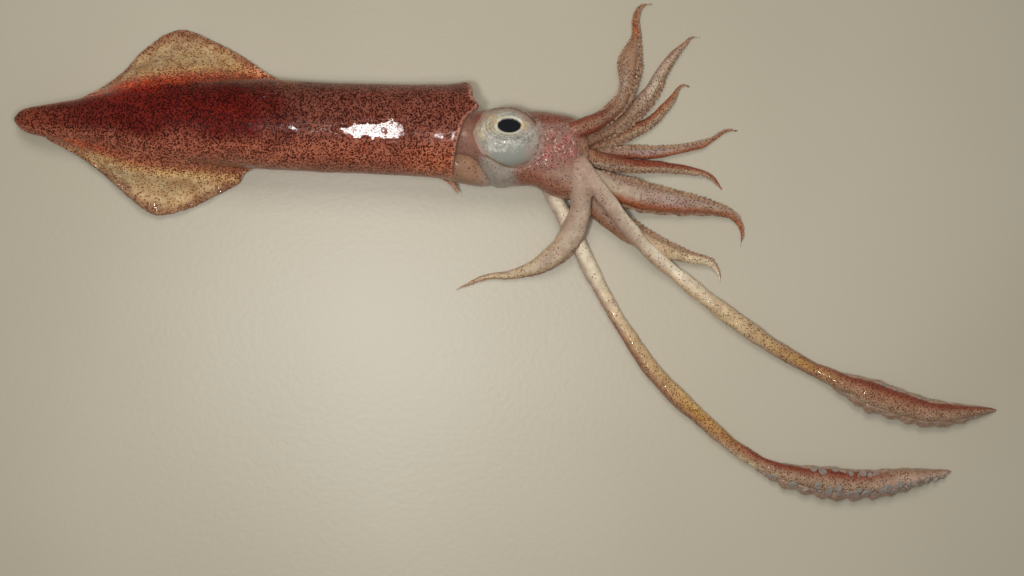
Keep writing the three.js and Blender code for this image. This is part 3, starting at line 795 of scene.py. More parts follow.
# ---------- Head and funnel ----------
def head_rings(steps=90, sides=80):
    xs = np.linspace(HEAD_STATIONS[0][0], HEAD_STATIONS[-1][0], steps)
    middle, half_width, half_height, clearance = [along(HEAD_STATIONS, k)(xs) for k in (1, 2, 3, 4)]
    side, up = soft_section(turns(sides))
    z = np.maximum(0, clearance) + FLAT_SHARE * half_height
    return np.array([
        np.column_stack([np.full(sides, xs[i]), middle[i] + side * half_width[i],
                         np.maximum(0, z[i] + up * half_height[i])])
        for i in range(steps)
    ])


def head_fields(points):
    """Colour and how densely it is dotted, over the head and neck."""
    x, y, _ = points.T
    mottle = wander(points, 2.4, 6.1)
    neck = smooth((48 - x) / 4)
    lower_lid = smooth((x - 43) / 3) * smooth((60.5 - x) / 6) * smooth((-9.5 - y) / 2)
    ahead = smooth((x - 59) / 3)
    top_band = ahead * smooth((y + 0.9 + 1.2 * mottle) / 2.4)
    lilac = ahead * bell(y + 2.2, 2.2)
    pale = smooth((x - 64) / 4) * smooth((-12.6 - y + 0.3 * (x - 70)) / 2.5)
    front = smooth((x - 74) / 4) * smooth((y + 12) / 3)
    fold = y + 17.6 + 0.38 * (x - 60)
    belly_red = smooth((x - 54) / 4.5) * smooth((76 - x) / 3) * bell(fold, 3.6)
    colour = tone_mix(
        plain("ash", points),
        ("haze", lower_lid * (0.75 + 0.3 * mottle)),
        ("mauve", 0.4 * lower_lid * smooth(0.2 + 2 * mottle)),
        ("maroon", 0.8 * top_band),
        ("lilac", 0.3 * lilac),
        ("grey", 0.4 * pale),
        ("umber", 0.8 * front),
        ("rust", 0.7 * belly_red),
        ("maroon", 0.35 * belly_red),
    )
    freckle = lerp(0.65, 0.12, np.maximum(neck, 0.9 * lower_lid))
    freckle = lerp(freckle, 0.15, 0.8 * pale)
    freckle = np.maximum(freckle, 0.95 * np.maximum(top_band, belly_red))
    freckle = lerp(lerp(freckle, 0.5, lilac), 0.95, front)
    return np.column_stack([colour, np.clip(freckle, 0, 1)])


def head_details(points, tint, freckle):
    """What is too fine for the head's rings: blotches ahead of the eye with painted highlights among them,
    painted shade in the crease under the eye, and the skin round the eye.
    """
    x, y, z = points.T
    away, upper = out_from_eye(points), z > 10
    blotch, fine = wander(points, 1.5, 4.7), wander(points, 0.8, 9.9)
    pink = smooth((x - 60 - 0.25 * (y + 7)) / 3) * smooth((79 - x) / 5) * upper
    pink = pink * bell(y + 7.6 - 0.1 * (x - 68), 5.6)
    beside = (away < 1.35) * smooth((1.3 - away) / 0.25) * upper
    below_left = smooth((-y - 7 + 0.15 * (x - 50)) / 2) * smooth((58 - x) / 4)
    above = smooth((y + 1) / 3)
    tint = tone_mix(
        tint,
        ("rose", 0.85 * pink * smooth(0.5 + 1.6 * blotch)),
        # pearl flecks in the pink patch are painted highlights: glints of light on the wet skin, painted into
        # the colour
        ("pearl", 0.6 * pink * smooth((fine - 0.4) / 0.16)),
        ("haze", 0.6 * beside * smooth((x - 57) / 4) * smooth(0.7 + 1.5 * blotch)),
        # painted shade: a dark olive line along the crease under the eye's lower-left edge, where the
        # crease's shadow falls
        ("olive", 0.85 * bell(away - 1.06, 0.05) * below_left * upper),
        ("maroon", 0.6 * beside * above),
    )
    freckle = np.maximum(freckle, 0.9 * pink * smooth(0.9 + 1.2 * blotch))
    return tint, freckle * (1 - 0.6 * beside * (1 - above))


def funnel_shape(sides=48):
    columns = [along(FUNNEL_STATIONS, k) for k in (1, 2, 3, 4)]
    side, up = soft_section(turns(sides))

    def ring(x, inset):
        y, half_width, z, half_height = [float(value(x)) for value in columns]
        across, rise = side * (half_width - inset), up * (half_height - inset)
        return np.column_stack([np.full(sides, x), y + across, z + rise])

    first, mouth = FUNNEL_STATIONS[0][0], FUNNEL_STATIONS[-1][0]
    outer = [ring(x, 0) for x in np.linspace(first, mouth, 40)]
    lip = [ring(mouth + 0.25, FUNNEL_WALL * share) for share in (0.3, 0.7)]
    bore = [ring(x, FUNNEL_WALL) for x in np.linspace(mouth, mouth - FUNNEL_BORE, 10)]
    return loft([*outer, *lip, *bore])


def make_funnel(material):
    piece = flesh("funnel_tube", [funnel_shape()], voxel=0.4, rounds=4)
    points = get_points(piece)
    drift = wander(points, 5, 4.4)
    pale_end = smooth((points[:, 0] - 43) / 5)
    colour = tone_mix(plain("dusk", points), ("clay", 0.75 + 0.5 * drift), ("steel", 0.35 * pale_end))
    set_field(piece, "tint", colour)
    set_field(piece, "freckle", 0.2 + 0.1 * drift)
    return finish_piece(piece, material, "funnel_skin", "funnel")


def make_crown(material, name, members, voxel, slot, with_head=False):
    """The head and limbs that flow into each other, grown together, with their colours carried over."""
    shapes, sources, values = [], [], []
    if with_head:
        rings = head_rings()
        shapes.append(loft(rings))
        sources.append(rings.reshape(-1, 3))
        values.append(head_fields(rings.reshape(-1, 3)))
    for member in members:
        rings, shares, angles = limbs[member].rings()
        shapes.append(loft(rings))
        sources.append(rings.reshape(-1, 3))
        values.append(limbs[member].fields(shares, angles).reshape(-1, 4))
    piece = flesh(name, shapes, voxel, rounds=5)
    points, normals = get_points(piece), get_normals(piece)
    carried = carry_over(np.vstack(sources), np.vstack(values), points)
    points = points + normals * (0.1 * wander(points, 2.2, 3.3) + 0.22 * wander(points, 7, 1.1))[:, None]
    tint, freckle = carried[:, :3], carried[:, 3]
    if with_head:
        points = press_socket(points)
        tint, freckle = head_details(points, tint, freckle)
    set_points(piece, points)
    set_field(piece, "tint", lit(tint, 1 + 0.1 * wander(points, 4, 7.7)))
    set_field(piece, "freckle", np.clip(freckle * (1 + 0.5 * wander(points, 5, 12.3)), 0, 1))
    nodes = [*members, "head"] if with_head else members
    return finish_piece(piece, material, slot, *nodes)


# ---------- Eyes ----------
# The pupil and the part of the eye that shows are placed as seen from above. The lower eye is the upper one,
# turned over and made smaller.
PUPIL_AT = np.array([54.2, -0.7])
PUPIL_HALF = np.array([3.7, 2.3])
BALL_AT = np.array([53.0, -4.2, 14.0])
BALL_RADII = np.array([12.2, 9.8, 8.4])
SHOWN_AT = np.array([52.8, -4.1])
SHOWN_HALF = np.array([10.4, 8.9])
LOWER_EYE_SCALE = np.array([0.85, 0.88, -0.9])
PUPIL_TONE = np.array([0.003, 0.004, 0.007])
# Rings round the pupil, by their distance from it: how deep they are pressed in, and how wide their shade is.
PRESSED_RINGS = ((1.4, 0.18), (1.62, 0.22), (1.9, 0.16), (2.25, 0.12), (2.6, 0.1))
SHADED_RINGS = ((1.42, 0.07), (1.66, 0.09), (1.95, 0.06))


def out_from_eye(points):
    """How far out from the middle of the eye's shown part, where 1 is its edge. It is pointed below."""
    x, y = points[:, 0] - SHOWN_AT[0], points[:, 1] - SHOWN_AT[1]
    lower = (y - np.sqrt(y**2 + 9)) / 2
    return np.hypot((x + 0.3 * lower) / (SHOWN_HALF[0] + 0.22 * lower), y / SHOWN_HALF[1])


def ball_height(points):
    inside = 1 - (((points[:, :2] - BALL_AT[:2]) / BALL_RADII[:2]) ** 2).sum(axis=1)
    return BALL_AT[2] + BALL_RADII[2] * np.sqrt(np.maximum(0, inside))


def press_socket(points):
    """Sink the head's skin under the part of the eyeball that shows, and let it lap over the ball's edge."""
    away = out_from_eye(points)
    at_edge = SHOWN_AT + (points[:, :2] - SHOWN_AT) / np.maximum(away, 1)[:, None]
    lap = lerp(-1.4, 0.25, smooth((away - 0.93) / 0.1))
    limit = ball_height(at_edge) + lap + 15 * np.maximum(0, away - 1) ** 1.2
    excess = points[:, 2] - limit
    soft = 0.35
    sunk = points.copy()
    sunk[:, 2] -= np.where(points[:, 2] > 8, soft * np.logaddexp(0, excess / soft), 0)
    return sunk


def eyeball(steps=90, sides=160):
    """The upper eyeball: an ellipsoid with its rings round its pupil."""
    aim = np.array([PUPIL_AT[0] - BALL_AT[0], PUPIL_AT[1] - BALL_AT[1], 0]) / BALL_RADII
    aim[2] = math.sqrt(1 - aim[0] ** 2 - aim[1] ** 2)
    east = np.cross([0, 1, 0], aim)
    east /= np.linalg.norm(east)
    north = np.cross(aim, east)
    polar = np.linspace(0.004, 1, steps) ** 1.15 * math.radians(118)
    turn = turns(sides)
    rings = []
    for tilt in polar:
        ring = math.cos(tilt) * aim + math.sin(tilt) * (
            np.cos(turn)[:, None] * east + np.sin(turn)[:, None] * north
        )
        rings.append(BALL_AT + ring * BALL_RADII)
    return loft(rings)


def pupil_distance(points):
    """How far out from the pupil's middle, where 1 is its edge."""
    return np.hypot(*((points[:, :2] - PUPIL_AT) / PUPIL_HALF).T)


def eye_relief(points, away, below, foil, drift):
    """How far the eye's skin stands out: sunk at the pupil and the rings round it, uneven elsewhere."""
    relief = -0.5 * smooth((1.04 - away) / 0.12) + 0.25 * bell(away - 1.17, 0.1)
    for ring, depth in PRESSED_RINGS:
        relief -= depth * (0.3 + 0.7 * below) * bell(away - ring - 0.12 * drift, 0.07)
    return relief + 0.2 * wander(points, 1.2, 5.5) * foil * smooth((away - 1.25) / 0.3)


def make_eye(material):
    piece = mesh_object("eye_right_ball", [eyeball()])
    facing_out(piece)
    points, normals = get_points(piece), get_normals(piece)
    x, y = points[:, 0] - SHOWN_AT[0], points[:, 1] - SHOWN_AT[1]
    away, edge = pupil_distance(points), out_from_eye(points)
    below = smooth(-(points[:, 1] - PUPIL_AT[1] + 0.4 * (points[:, 0] - PUPIL_AT[0])) / 3)
    drift, fleck, grain = wander(points, 3.4, 2.9), wander(points, 0.9, 6.6), wander(points, 0.6, 1.9, 2)
    foil_edge = y + 5.4 + 0.05 * x**2 * (x < 0) - 0.2 * x
    foil = smooth((foil_edge + 2.2 * wander(points, 2.4, 8.2) + 1.6 * fleck) / 3)
    set_points(piece, points + normals * eye_relief(points, away, below, foil, drift)[:, None])
    right = smooth((x - 4.4 + 1.2 * drift) / 3)
    top = smooth((edge - 0.78 + 0.06 * drift) / 0.2) * smooth((y - 1) / 3)
    left = smooth((edge - 0.8 + 0.05 * drift) / 0.14) * smooth((-3 - x) / 3)
    folds = sum(bell(away - ring - 0.12 * drift, width) for ring, width in SHADED_RINGS)
    shaded = np.clip(folds * (0.2 + 0.8 * below) * (away > 1.2), 0, 1)
    gold = sum(
        amount * bell(np.hypot(x - gold_x, y - gold_y), size)
        for gold_x, gold_y, size, amount in ((-3.6, 5.2, 2.4, 1), (-7, 1, 2.6, 0.9), (6, 3.4, 1.6, 1))
    )
    glitter = foil * smooth((edge < 0.95) * (away - 1.2) / 0.3)
    pupil = smooth((1.03 - away) / 0.06)[:, None]
    colour = tone_mix(
        plain("haze", points),
        ("silver", foil * np.clip(0.72 + 0.9 * drift, 0.1, 1)),
        ("steel", 0.8 * foil * smooth(0.2 + 2.4 * fleck)),
        ("lilac", 0.5 * right),
    )
    colour = tone_mix(
        lit(colour, 1 + 0.2 * right),
        ("haze", 0.6 * right * bell(away - 2.5, 0.2)),
        ("silver", 0.6 * right * bell(away - 2.05, 0.14) * smooth((3 - y) / 3)),
    )
    colour = tone_mix(
        lit(colour, 1 - 0.72 * shaded),
        ("cream", bell(away - 1.2, 0.12) + 0.8 * bell(away - 1.54, 0.07) * below),
        ("gold", np.minimum(gold, 1) * smooth(0.45 + 2 * fleck)),
    )
    colour = tone_mix(
        lit(colour, 1 - 0.34 * glitter * smooth(0.1 + 2 * grain)),
        ("umber", 0.8 * top),
        ("plum", 0.9 * smooth((edge - 0.97) / 0.05) * smooth((y - 3) / 2)),
        ("mauve", 0.75 * left),
    )
    set_field(piece, "tint", lerp(colour, PUPIL_TONE, pupil))
    set_field(piece, "sparkle", smooth((away - 1.1) / 0.1) * foil * (1 - top) * (1 - left))
    return finish_piece(piece, material, "eye", "eye_right")


def make_lower_eye(material):
    """The eye underneath, which carries the head's weight and is pressed flat."""
    points, faces = eyeball(steps=48, sides=80)
    points = (points - BALL_AT) * LOWER_EYE_SCALE + LOWER_EYE
    piece = mesh_object("eye_left_ball", [(kept_above(points, 0.02), faces)])
    facing_out(piece)
    points = get_points(piece)
    away = pupil_distance(points - (LOWER_EYE - BALL_AT))
    colour = tone_mix(plain("silver", points), ("steel", 0.5 + wander(points, 3.4, 2.9)))
    pupil = smooth((1.03 - away) / 0.06) * (points[:, 2] < 4)
    set_field(piece, "tint", lerp(colour, PUPIL_TONE[0], pupil[:, None]))
    set_field(piece, "sparkle", 0.4 * (1 - pupil))
    return finish_piece(piece, material, "eye", "eye_left")


# ---------- Suckers and skirts ----------
def sucker(radius, floor_height, sides=12):
    """A cup on a short stalk that opens along +Z, with its stalk's foot at the origin."""
    profile = [(0.45, -0.5), (0.42, 0.15), (0.72, 0.4), (0.98, 0.75), (1.0, 1.0), (0.86, 1.12), (0.66, 1.08),
               (0.5, floor_height + 0.1), (0.2, floor_height)]
    turn = turns(sides)
    rings = [np.column_stack([r * np.cos(turn), r * np.sin(turn), np.full(sides, z)]) for r, z in profile]
    return loft(np.array(rings) * radius)


def facing_frame(facing):
    """Two directions square to facing."""
    side = np.cross(facing, [0.31, 0.17, 0.93])
    side /= np.linalg.norm(side)
    return side, np.cross(facing, side)


def put_sucker(point, facing, radius, floor_height):
    """A sucker placed with its foot at a point, opening the way it faces."""
    facing = facing / np.linalg.norm(facing)
    side, other = facing_frame(facing)
    points, faces = sucker(radius, floor_height)
    placed = point + points[:, :1] * side + points[:, 1:2] * other + points[:, 2:] * facing
    return kept_above(placed, 0.02), faces


# How suckers vary along a row: shares of the radius, lean in degrees, unevenness of facing, gaps in radii,
# and the height of the cup's floor.
ARM_HABIT = ((0.7, 1.3), 12, 0.14, (1.9, 2.6), 0.6)
CLUB_HABIT = ((0.5, 1.2), 16, 0.35, (1.7, 3.2), 1.0)


def sucker_row(limb, angle, radius, start, end, habit):
    """Suckers down one side of a limb. On an arm they get smaller as it narrows."""
    sizes, lean, uneven, gaps, floor_height = habit
    shapes, share = [], start
    while share < end:
        widest = radius if limb.tentacle else min(radius, 0.15 * float(limb.read(share)[4]) + 0.14)
        size = widest * DRAW.uniform(*sizes)
        turn = math.radians(angle + DRAW.uniform(-lean, lean))
        sunk = 0.55 * size if limb.tentacle else 0.32
        point, facing = limb.surface(np.array([share]), np.array([turn]), -sunk)
        shapes.append(put_sucker(point[0], facing[0] + DRAW.normal(0, uneven, 3), size, floor_height))
        share += DRAW.uniform(*gaps) * size / limb.length
    return shapes


# limb, angle from straight up, radius, and the shares of the length between which the row runs
CLUB_ROWS = [
    ("tentacle_left", -88, 1.15, 0.66, 0.98), ("tentacle_left", -58, 1.45, 0.71, 0.95),
    ("tentacle_left", -28, 1.2, 0.75, 0.93), ("tentacle_left", 60, 1.3, 0.74, 0.86),
    ("tentacle_right", -86, 0.7, 0.7, 0.985), ("tentacle_right", 84, 0.75, 0.74, 0.86),
]


def arm_suckers():
    return [
        shape for limb in limbs.values() for angle, radius, start in limb.suckers
        for shape in sucker_row(limb, angle, radius, start, 0.95, ARM_HABIT)
    ]


def club_suckers():
    """Glassy suckers of mixed sizes along the clubs, bigger on the lower club."""
    return [
        shape for name, angle, radius, start, end in CLUB_ROWS
        for shape in sucker_row(limbs[name], angle, radius, start, end, CLUB_HABIT)
    ]


def skirt(limb, angle, start, end, reach, waves, rooted=1.0):
    """A thin scalloped membrane along one side of a limb, rooted at a share of the angle it stands out at."""
    shares = np.linspace(start, end, int((end - start) * limb.length / 0.3))
    turn = np.full(len(shares), math.radians(angle))
    body = np.interp(shares, [start, lerp(start, end, 0.2), lerp(start, end, 0.7), end], [0.2, 1, 0.8, 0.1])
    uneven = np.array([noise.noise(Vector((share * limb.length / 1.7, angle, waves))) for share in shares])
    wave = np.abs(np.sin(shares * limb.length * waves + min(1.5, waves) * uneven))
    scallop = (0.55 + 0.45 * wave) * (1 + 0.25 * uneven)
    width = limb.read(shares)[:, 4]
    out = reach * body * scallop * np.clip(width / USUAL_WIDTH, 0.25, 1.2)
    inner = limb.surface(shares, turn * rooted, -0.5)[0]
    outer, facing = limb.surface(shares, turn, -0.5)
    outer = outer + facing * (0.5 + out)[:, None]
    thick = np.array([0, 0, 0.2])
    inner[:, 2], outer[:, 2] = np.maximum(inner[:, 2], 0.35), np.maximum(outer[:, 2], 0.35)
    middle = (inner + outer) / 2
    middle[:, 2] += 0.15 * np.sin(shares * limb.length * waves * 2)
    thin = thick / 2
    edges = [inner + thick, middle + thick, outer + thin, outer - thin, middle - thick, inner - thick]
    return loft(np.array(edges).transpose(1, 0, 2))


# limb, angle from straight up, start and end as shares, reach, waves, and for clubs the share it is rooted at
ARM_SKIRTS = [
    ("arm_1_right", 90, 0.12, 0.95, 0.8, 2.4), ("arm_1_right", -90, 0.25, 0.95, 1.25, 2.4),
    ("arm_1_left", -90, 0.12, 0.96, 1.55, 2.2), ("arm_2_left", -90, 0.12, 0.96, 1.35, 2.4),
    ("arm_2_right", 90, 0.12, 0.96, 1.35, 2.4), ("arm_3_left", -90, 0.12, 0.96, 1.3, 2.1),
    ("arm_3_right", 90, 0.1, 0.94, 1.35, 2.2), ("arm_3_right", -96, 0.12, 0.9, 0.95, 0.5),
    ("arm_4_left", 90, 0.16, 0.97, 1.2, 2.0), ("arm_4_right", 96, 0.2, 0.85, 0.5, 1.6),
]
CLUB_SKIRTS = [
    ("tentacle_right", -88, 0.67, 0.995, 1.7, 0.55, 0.55), ("tentacle_right", 88, 0.68, 0.99, 0.8, 0.45, 0.7),
    ("tentacle_left", -88, 0.64, 0.99, 2.0, 0.6, 0.55), ("tentacle_left", 90, 0.68, 0.99, 0.7, 0.5, 0.7),
]


# ---------- Materials ----------
BLACK_BROWN = linear(66, 38, 28)
DOT_BROWN = linear(88, 44, 32)
DOT_BLACK = linear(48, 26, 22)
BOARD_TONES = linear(182, 175, 156), linear(188, 181, 163)


class Graph:
    """A material's node tree, with short ways to add nodes and mixes."""

    def __init__(self, name):
        self.material = bpy.data.materials.new(name)
        self.material.use_nodes = True
        self.tree = self.material.node_tree
        self.tree.nodes.clear()

    def node(self, kind, values=None, **settings):
        made = self.tree.nodes.new(f"ShaderNode{kind}")
        for key, value in settings.items():
            setattr(made, key, value)
        for key, value in (values or {}).items():
            if isinstance(value, bpy.types.NodeSocket):
                self.tree.links.new(value, made.inputs[key])
            else:
                made.inputs[key].default_value = value
        return made

    def maths(self, operation, first, second):
        return self.node("Math", {0: first, 1: second}, operation=operation).outputs[0]

    def product(self, first, second):
        return self.maths("MULTIPLY", first, second)

    def mix(self, amount, first, second):
        first, second = [v if isinstance(v, bpy.types.NodeSocket) else (*v, 1) for v in (first, second)]
        return self.node("Mix", {0: amount, 6: first, 7: second}, data_type="RGBA").outputs[2]

    def span(self, value, low, high, to_low=0.0, to_high=1.0):
        """A value between low and high, eased onto the range from to_low to to_high."""
        values = {0: value, 1: low, 2: high, 3: to_low, 4: to_high}
        return self.node("MapRange", values, interpolation_type="SMOOTHSTEP").outputs[0]

    def field(self, name, colour=False):
        made = self.node("Attribute", attribute_name=name)
        return made.outputs["Color" if colour else "Fac"]

    def place(self):
        """Position on the object, in millimetres."""
        spot = self.node("TexCoord").outputs["Object"]
        return self.node("Mapping", {"Vector": spot, "Scale": (1000, 1000, 1000)}).outputs[0]

    def times(self, colour, gain):
        return self.node("VectorMath", {0: colour, 1: gain}, operation="MULTIPLY").outputs[0]

    def clouds(self, spot, scale, detail, roughness=0.5):
        """Cloudy random values, from 0 to 1."""
        values = {"Vector": spot, "Scale": scale, "Detail": detail, "Roughness": roughness}
        return self.node("TexNoise", values).outputs["Fac"]

    def bump(self, height, depth, strength=1.0):
        """Relief, with its depth in millimetres."""
        values = {"Height": height, "Strength": strength, "Distance": depth * MM}
        return self.node("Bump", values).outputs[0]

    def speckle(self, spot, size, density, low, high, softness=0.06):
        """Round dots about size apart, at a density share of all places, and a random number for each."""
        cells = self.node("TexVoronoi", {"Vector": spot, "Scale": 1 / size, "Randomness": 1.0})
        chance = self.node("SeparateColor", {0: cells.outputs["Color"]})
        there = self.span(self.maths("SUBTRACT", density, chance.outputs[0]), -0.04, 0.04)
        radius = self.span(chance.outputs[1], 0, 1, low, high)
        inner, outer = self.maths("SUBTRACT", radius, softness), self.maths("ADD", radius, softness)
        dots = self.span(cells.outputs["Distance"], inner, outer, 1.0, 0.0)
        return self.product(dots, there), chance.outputs[2]

    def finish(self, values):
        """The material, with one surface of these values."""
        surface = self.node("BsdfPrincipled", values)
        self.node("OutputMaterial", {"Surface": surface.outputs[0]})
        return self.material


SKIN_RELIEF = 0.14


def wet_skin(g, base, relief, film, soften, coat):
    """Soft flesh with fine relief under a thin, smoother film of water."""
    return g.finish({
        "Base Color": base, "Roughness": 0.42, "IOR": 1.4, "Specular IOR Level": 0.15,
        "Subsurface Weight": soften, "Subsurface Radius": (1.0, 0.4, 0.25), "Subsurface Scale": MM,
        "Coat Weight": coat, "Coat Roughness": 0.05, "Coat IOR": 1.38,
        "Normal": g.bump(relief, SKIN_RELIEF), "Coat Normal": g.bump(relief, SKIN_RELIEF, film),
    })


def mantle_material():
    """Skin packed with dots of its own tint, with a paler net between them. Fins are sparsely dotted."""
    g = Graph("mantle_skin")
    spot = g.place()
    tint, freckle, thin = g.field("tint", colour=True), g.field("freckle"), g.field("thin")
    broad, fine = g.clouds(spot, 0.25, 4, 0.65), g.clouds(spot, 1, 3, 0.65)
    darker, lighter = g.times(tint, (0.86, 0.76, 0.74)), g.times(tint, (1.14, 1.24, 1.28))
    tint = g.mix(g.span(broad, 0.32, 0.68), darker, lighter)
    net = g.mix(thin, g.times(tint, (2.05, 2.26, 2.3)), tint)
    small, shade = g.speckle(spot, 0.56, freckle, 0.34, 0.6)
    extra, extra_shade = g.speckle(spot, 0.9, g.product(freckle, 0.6), 0.2, 0.4)
    dark, warm = g.times(tint, (0.2, 0.09, 0.08)), g.times(tint, (0.72, 0.36, 0.28))
    pale_dots = g.mix(shade, g.times(tint, (0.34, 0.2, 0.14)), g.times(tint, (0.75, 0.5, 0.36)))
    base = g.mix(small, net, g.mix(thin, g.mix(shade, dark, warm), pale_dots))
    strong = g.product(extra, g.span(thin, 0, 1, 0.8, 0.45))
    base = g.mix(strong, base, g.mix(thin, dark, g.mix(extra_shade, BLACK_BROWN, pale_dots)))
    relief = g.maths("ADD", fine, g.product(small, 0.3))
    return wet_skin(g, base, relief, film=0.12, soften=0.06, coat=0.45)


def skin_material(name, spacing, soften, film, mottle):
    """Pale wet skin: a flesh tone from the tint field, with separate pigment dots of two sizes."""
    g = Graph(name)
    spot = g.place()
    tint, freckle = g.field("tint", colour=True), g.field("freckle")
    broad, fine = g.clouds(spot, 0.3, 4, 0.65), g.clouds(spot, 1, 3, 0.65)
    darker, lighter = (1 - 0.2 * mottle, 1 - 0.28 * mottle, 1 - 0.3 * mottle), (1 + 0.2 * mottle,) * 3
    base = g.mix(g.span(broad, 0.34, 0.66), g.times(tint, darker), g.times(tint, lighter))
    base = g.mix(g.span(freckle, 0.2, 0.9), base, g.times(base, (1.08, 1.24, 1.3)))
    base = g.mix(g.span(fine, 0.4, 0.68, 0, 0.35), base, g.times(base, (1.3, 1.3, 1.32)))
    small, shade = g.speckle(spot, spacing, g.span(freckle, 0, 0.9, 0.05, 1.05), 0.24, 0.48)
    big, big_shade = g.speckle(spot, spacing * 1.6, g.product(freckle, 0.5), 0.12, 0.25, 0.04)
    crowded = g.span(freckle, 0.35, 0.75)
    own = g.mix(crowded, g.times(tint, (0.5, 0.34, 0.3)), g.times(tint, (0.46, 0.16, 0.13)))
    base = g.mix(g.product(small, 0.88), base, g.mix(g.span(shade, 0.2, 0.8), DOT_BROWN, own))
    base = g.mix(g.product(big, 0.9), base, g.mix(big_shade, DOT_BLACK, DOT_BROWN))
    relief = g.maths("ADD", fine, g.product(small, 0.3))
    return wet_skin(g, base, relief, film, soften, coat=0.7)


def eye_material():
    """Silver skin that glitters, under a clear wet layer."""
    g = Graph("eye_silver")
    spot = g.place()
    tint, sparkle = g.field("tint", colour=True), g.field("sparkle")
    flakes = g.node("TexVoronoi", {"Vector": spot, "Scale": 2.2, "Randomness": 1.0})
    shade = g.node("SeparateColor", {0: flakes.outputs["Color"]}).outputs[0]
    fine = g.clouds(spot, 1.4, 5, 0.7)
    base = g.mix(g.product(sparkle, g.span(fine, 0.5, 0.72)), tint, TONES["cream"])
    base = g.mix(g.product(sparkle, g.span(shade, 0.55, 1, 0, 0.35)), base, TONES["steel"])
    height = g.product(g.maths("ADD", fine, g.product(shade, 0.3)), sparkle)
    return g.finish({
        "Base Color": base, "Metallic": g.product(sparkle, 0.12), "Roughness": 0.3, "IOR": 1.4,
        "Coat Weight": 1.0, "Coat Roughness": 0.03, "Coat IOR": 1.4, "Normal": g.bump(height, 0.3),
    })


def jelly_material(name, tone, second_tone, transmission):
    """Clear wet jelly with a little colour, for suckers and thin skirts."""
    g = Graph(name)
    cloud = g.clouds(g.place(), 0.9, 3)
    return g.finish({
        "Base Color": g.mix(g.span(cloud, 0.4, 0.62), TONES[tone], TONES[second_tone]),
        "Roughness": 0.22, "IOR": 1.36, "Transmission Weight": transmission,
        "Subsurface Weight": 0.3, "Subsurface Radius": (1.0, 0.7, 0.5), "Subsurface Scale": MM,
        "Coat Weight": 0.6, "Coat Roughness": 0.06, "Normal": g.bump(cloud, 0.12, 0.7),
    })


def floor_material():
    """A pale smooth board, lit a little less away from its middle."""
    g = Graph("pale_board")
    spot = g.place()
    base = g.mix(g.span(g.clouds(spot, 0.008, 2), 0.3, 0.7), *BOARD_TONES)
    out = g.node("VectorMath", {0: spot, 1: (30, -50, 0)}, operation="DISTANCE").outputs["Value"]
    return g.finish({
        "Base Color": g.times(base, g.span(out, 30, 300, 1.02, 0.84)),
        "Roughness": 0.34, "Normal": g.bump(g.clouds(spot, 0.5, 6, 0.6), 0.15, 0.35),
    })


# ---------- The squid ----------
# piece, its limbs, the size of its voxels, its slot, and whether the head is part of it
CROWNS = [
    ("head_and_upper_limbs", ["arm_1_right", "arm_4_right", "tentacle_right"], 0.4, "head_skin", True),
    ("arms_under_head", ["arm_3_left", "arm_1_left"], 0.34, "arm_skin"),
    ("arms_middle", ["arm_3_right", "arm_2_left"], 0.34, "arm_skin"),
    ("arms_lowest", ["arm_2_right", "arm_4_left"], 0.34, "arm_skin"),
    ("tentacle_lower", ["tentacle_left"], 0.38, "tentacle_skin"),
]

mantle_skin = mantle_material()
limb_skin = skin_material("limb_skin", spacing=0.52, soften=0.18, film=0.6, mottle=0.5)
funnel_skin = skin_material("funnel_skin", spacing=0.65, soften=0.2, film=0.4, mottle=0.5)
silver = eye_material()
sucker_jelly = jelly_material("sucker_jelly", "tan", "mauve", 0.1)
skirt_jelly = jelly_material("skirt_jelly", "tan", "dusk", 0.15)
club_jelly = jelly_material("club_jelly", "mauve", "clay", 0.1)
glass_jelly = jelly_material("glass_jelly", "lilac", "haze", 0.15)

make_mantle(mantle_skin)
for crown in CROWNS:
    make_crown(limb_skin, *crown)
make_funnel(funnel_skin)
make_eye(silver)
make_lower_eye(silver)
for piece_name, shapes, jelly, slot_name in (
    ("arm_suckers", arm_suckers(), sucker_jelly, "arm_skin"),
    ("club_suckers", club_suckers(), glass_jelly, "tentacle_skin"),
    ("arm_skirts", [skirt(limbs[name], *rest) for name, *rest in ARM_SKIRTS], skirt_jelly, "arm_skin"),
    ("club_skirts", [skirt(limbs[name], *rest) for name, *rest in CLUB_SKIRTS], club_jelly, "tentacle_skin"),
):
    scattered = mesh_object(piece_name, shapes)
    facing_out(scattered)
    finish_piece(scattered, jelly, slot_name)

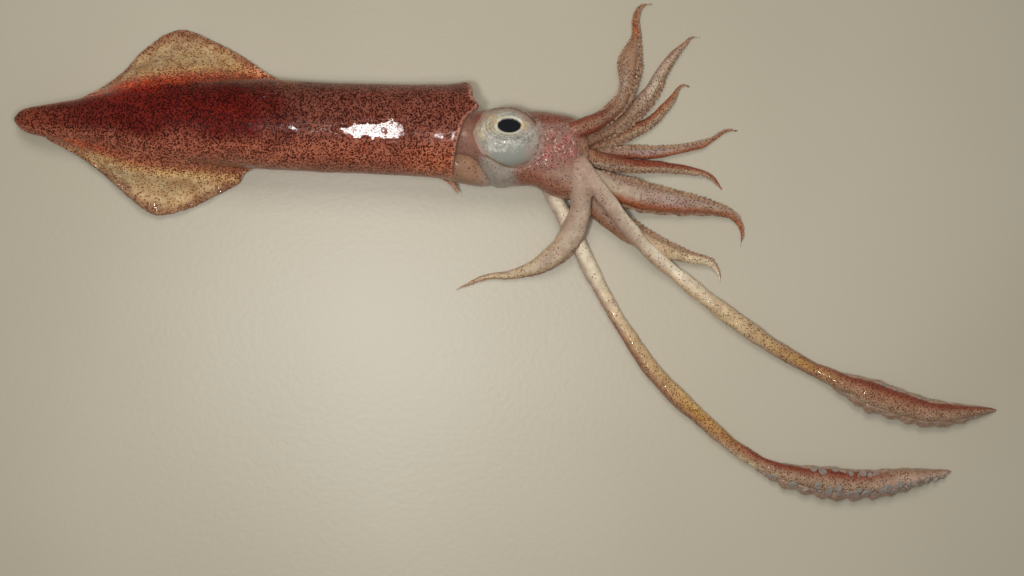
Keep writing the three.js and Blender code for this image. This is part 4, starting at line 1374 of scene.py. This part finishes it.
# ---------- Floor, light and camera ----------
VIEW_MIDDLE = (55.04 * MM, -51.2 * MM)
VIEW_WIDTH = 327.7 * MM
VIEW_HEIGHT = 700 * MM
SENSOR_WIDTH = 36
FLOOR_HALF = 3000
FLOOR_GAP = 0.15 * MM
FLASH_OVER = (-0.034, -0.078)
CEILING_OVER = (0.053, -0.053)
ROOM_TONE = (1.0, 0.96, 0.9, 1)
ROOM_STRENGTH = 0.18


def add_light(name, place, size, watts, colour, aim=(0.02, -0.03, 0), in_reflections=True):
    lamp = bpy.data.lights.new(name, "AREA")
    lamp.shape = "RECTANGLE"
    lamp.size, lamp.size_y = size
    lamp.energy = watts
    lamp.color = colour
    holder = bpy.data.objects.new(name, lamp)
    holder.location = place
    holder.visible_glossy = in_reflections
    holder.visible_camera = False
    holder.rotation_euler = (Vector(aim) - Vector(place)).to_track_quat("-Z", "Y").to_euler()
    bpy.context.scene.collection.objects.link(holder)


corners = [(x * FLOOR_HALF, y * FLOOR_HALF, 0) for x, y in ((-1, -1), (1, -1), (1, 1), (-1, 1))]
floor = mesh_object("floor", [(corners, [(0, 1, 2, 3)])])
floor.location.z = -FLOOR_GAP
floor.data.materials.append(floor_material())

add_light("flash", (*FLASH_OVER, 0.7), (0.05, 0.06), 1.1, (1.0, 0.98, 0.96), (*FLASH_OVER, 0))
add_light("window", (0.0, 0.56, 1.05), (0.5, 0.5), 4.5, (1.0, 0.97, 0.92), in_reflections=False)
add_light("ceiling", (*CEILING_OVER, 0.42), (0.12, 0.12), 0.55, (1.0, 0.97, 0.93), (*CEILING_OVER, 0), False)
world = bpy.data.worlds.new("room")
world.use_nodes = True
background = world.node_tree.nodes["Background"]
background.inputs["Color"].default_value = ROOM_TONE
background.inputs["Strength"].default_value = ROOM_STRENGTH
bpy.context.scene.world = world
bpy.context.scene.view_settings.view_transform = "Standard"

lens = bpy.data.cameras.new("camera")
lens.sensor_width = SENSOR_WIDTH
lens.lens = SENSOR_WIDTH * VIEW_HEIGHT / VIEW_WIDTH
lens.clip_start = 10 * MM
camera = bpy.data.objects.new("camera", lens)
camera.location = (*VIEW_MIDDLE, VIEW_HEIGHT)
bpy.context.scene.collection.objects.link(camera)
bpy.context.scene.camera = camera
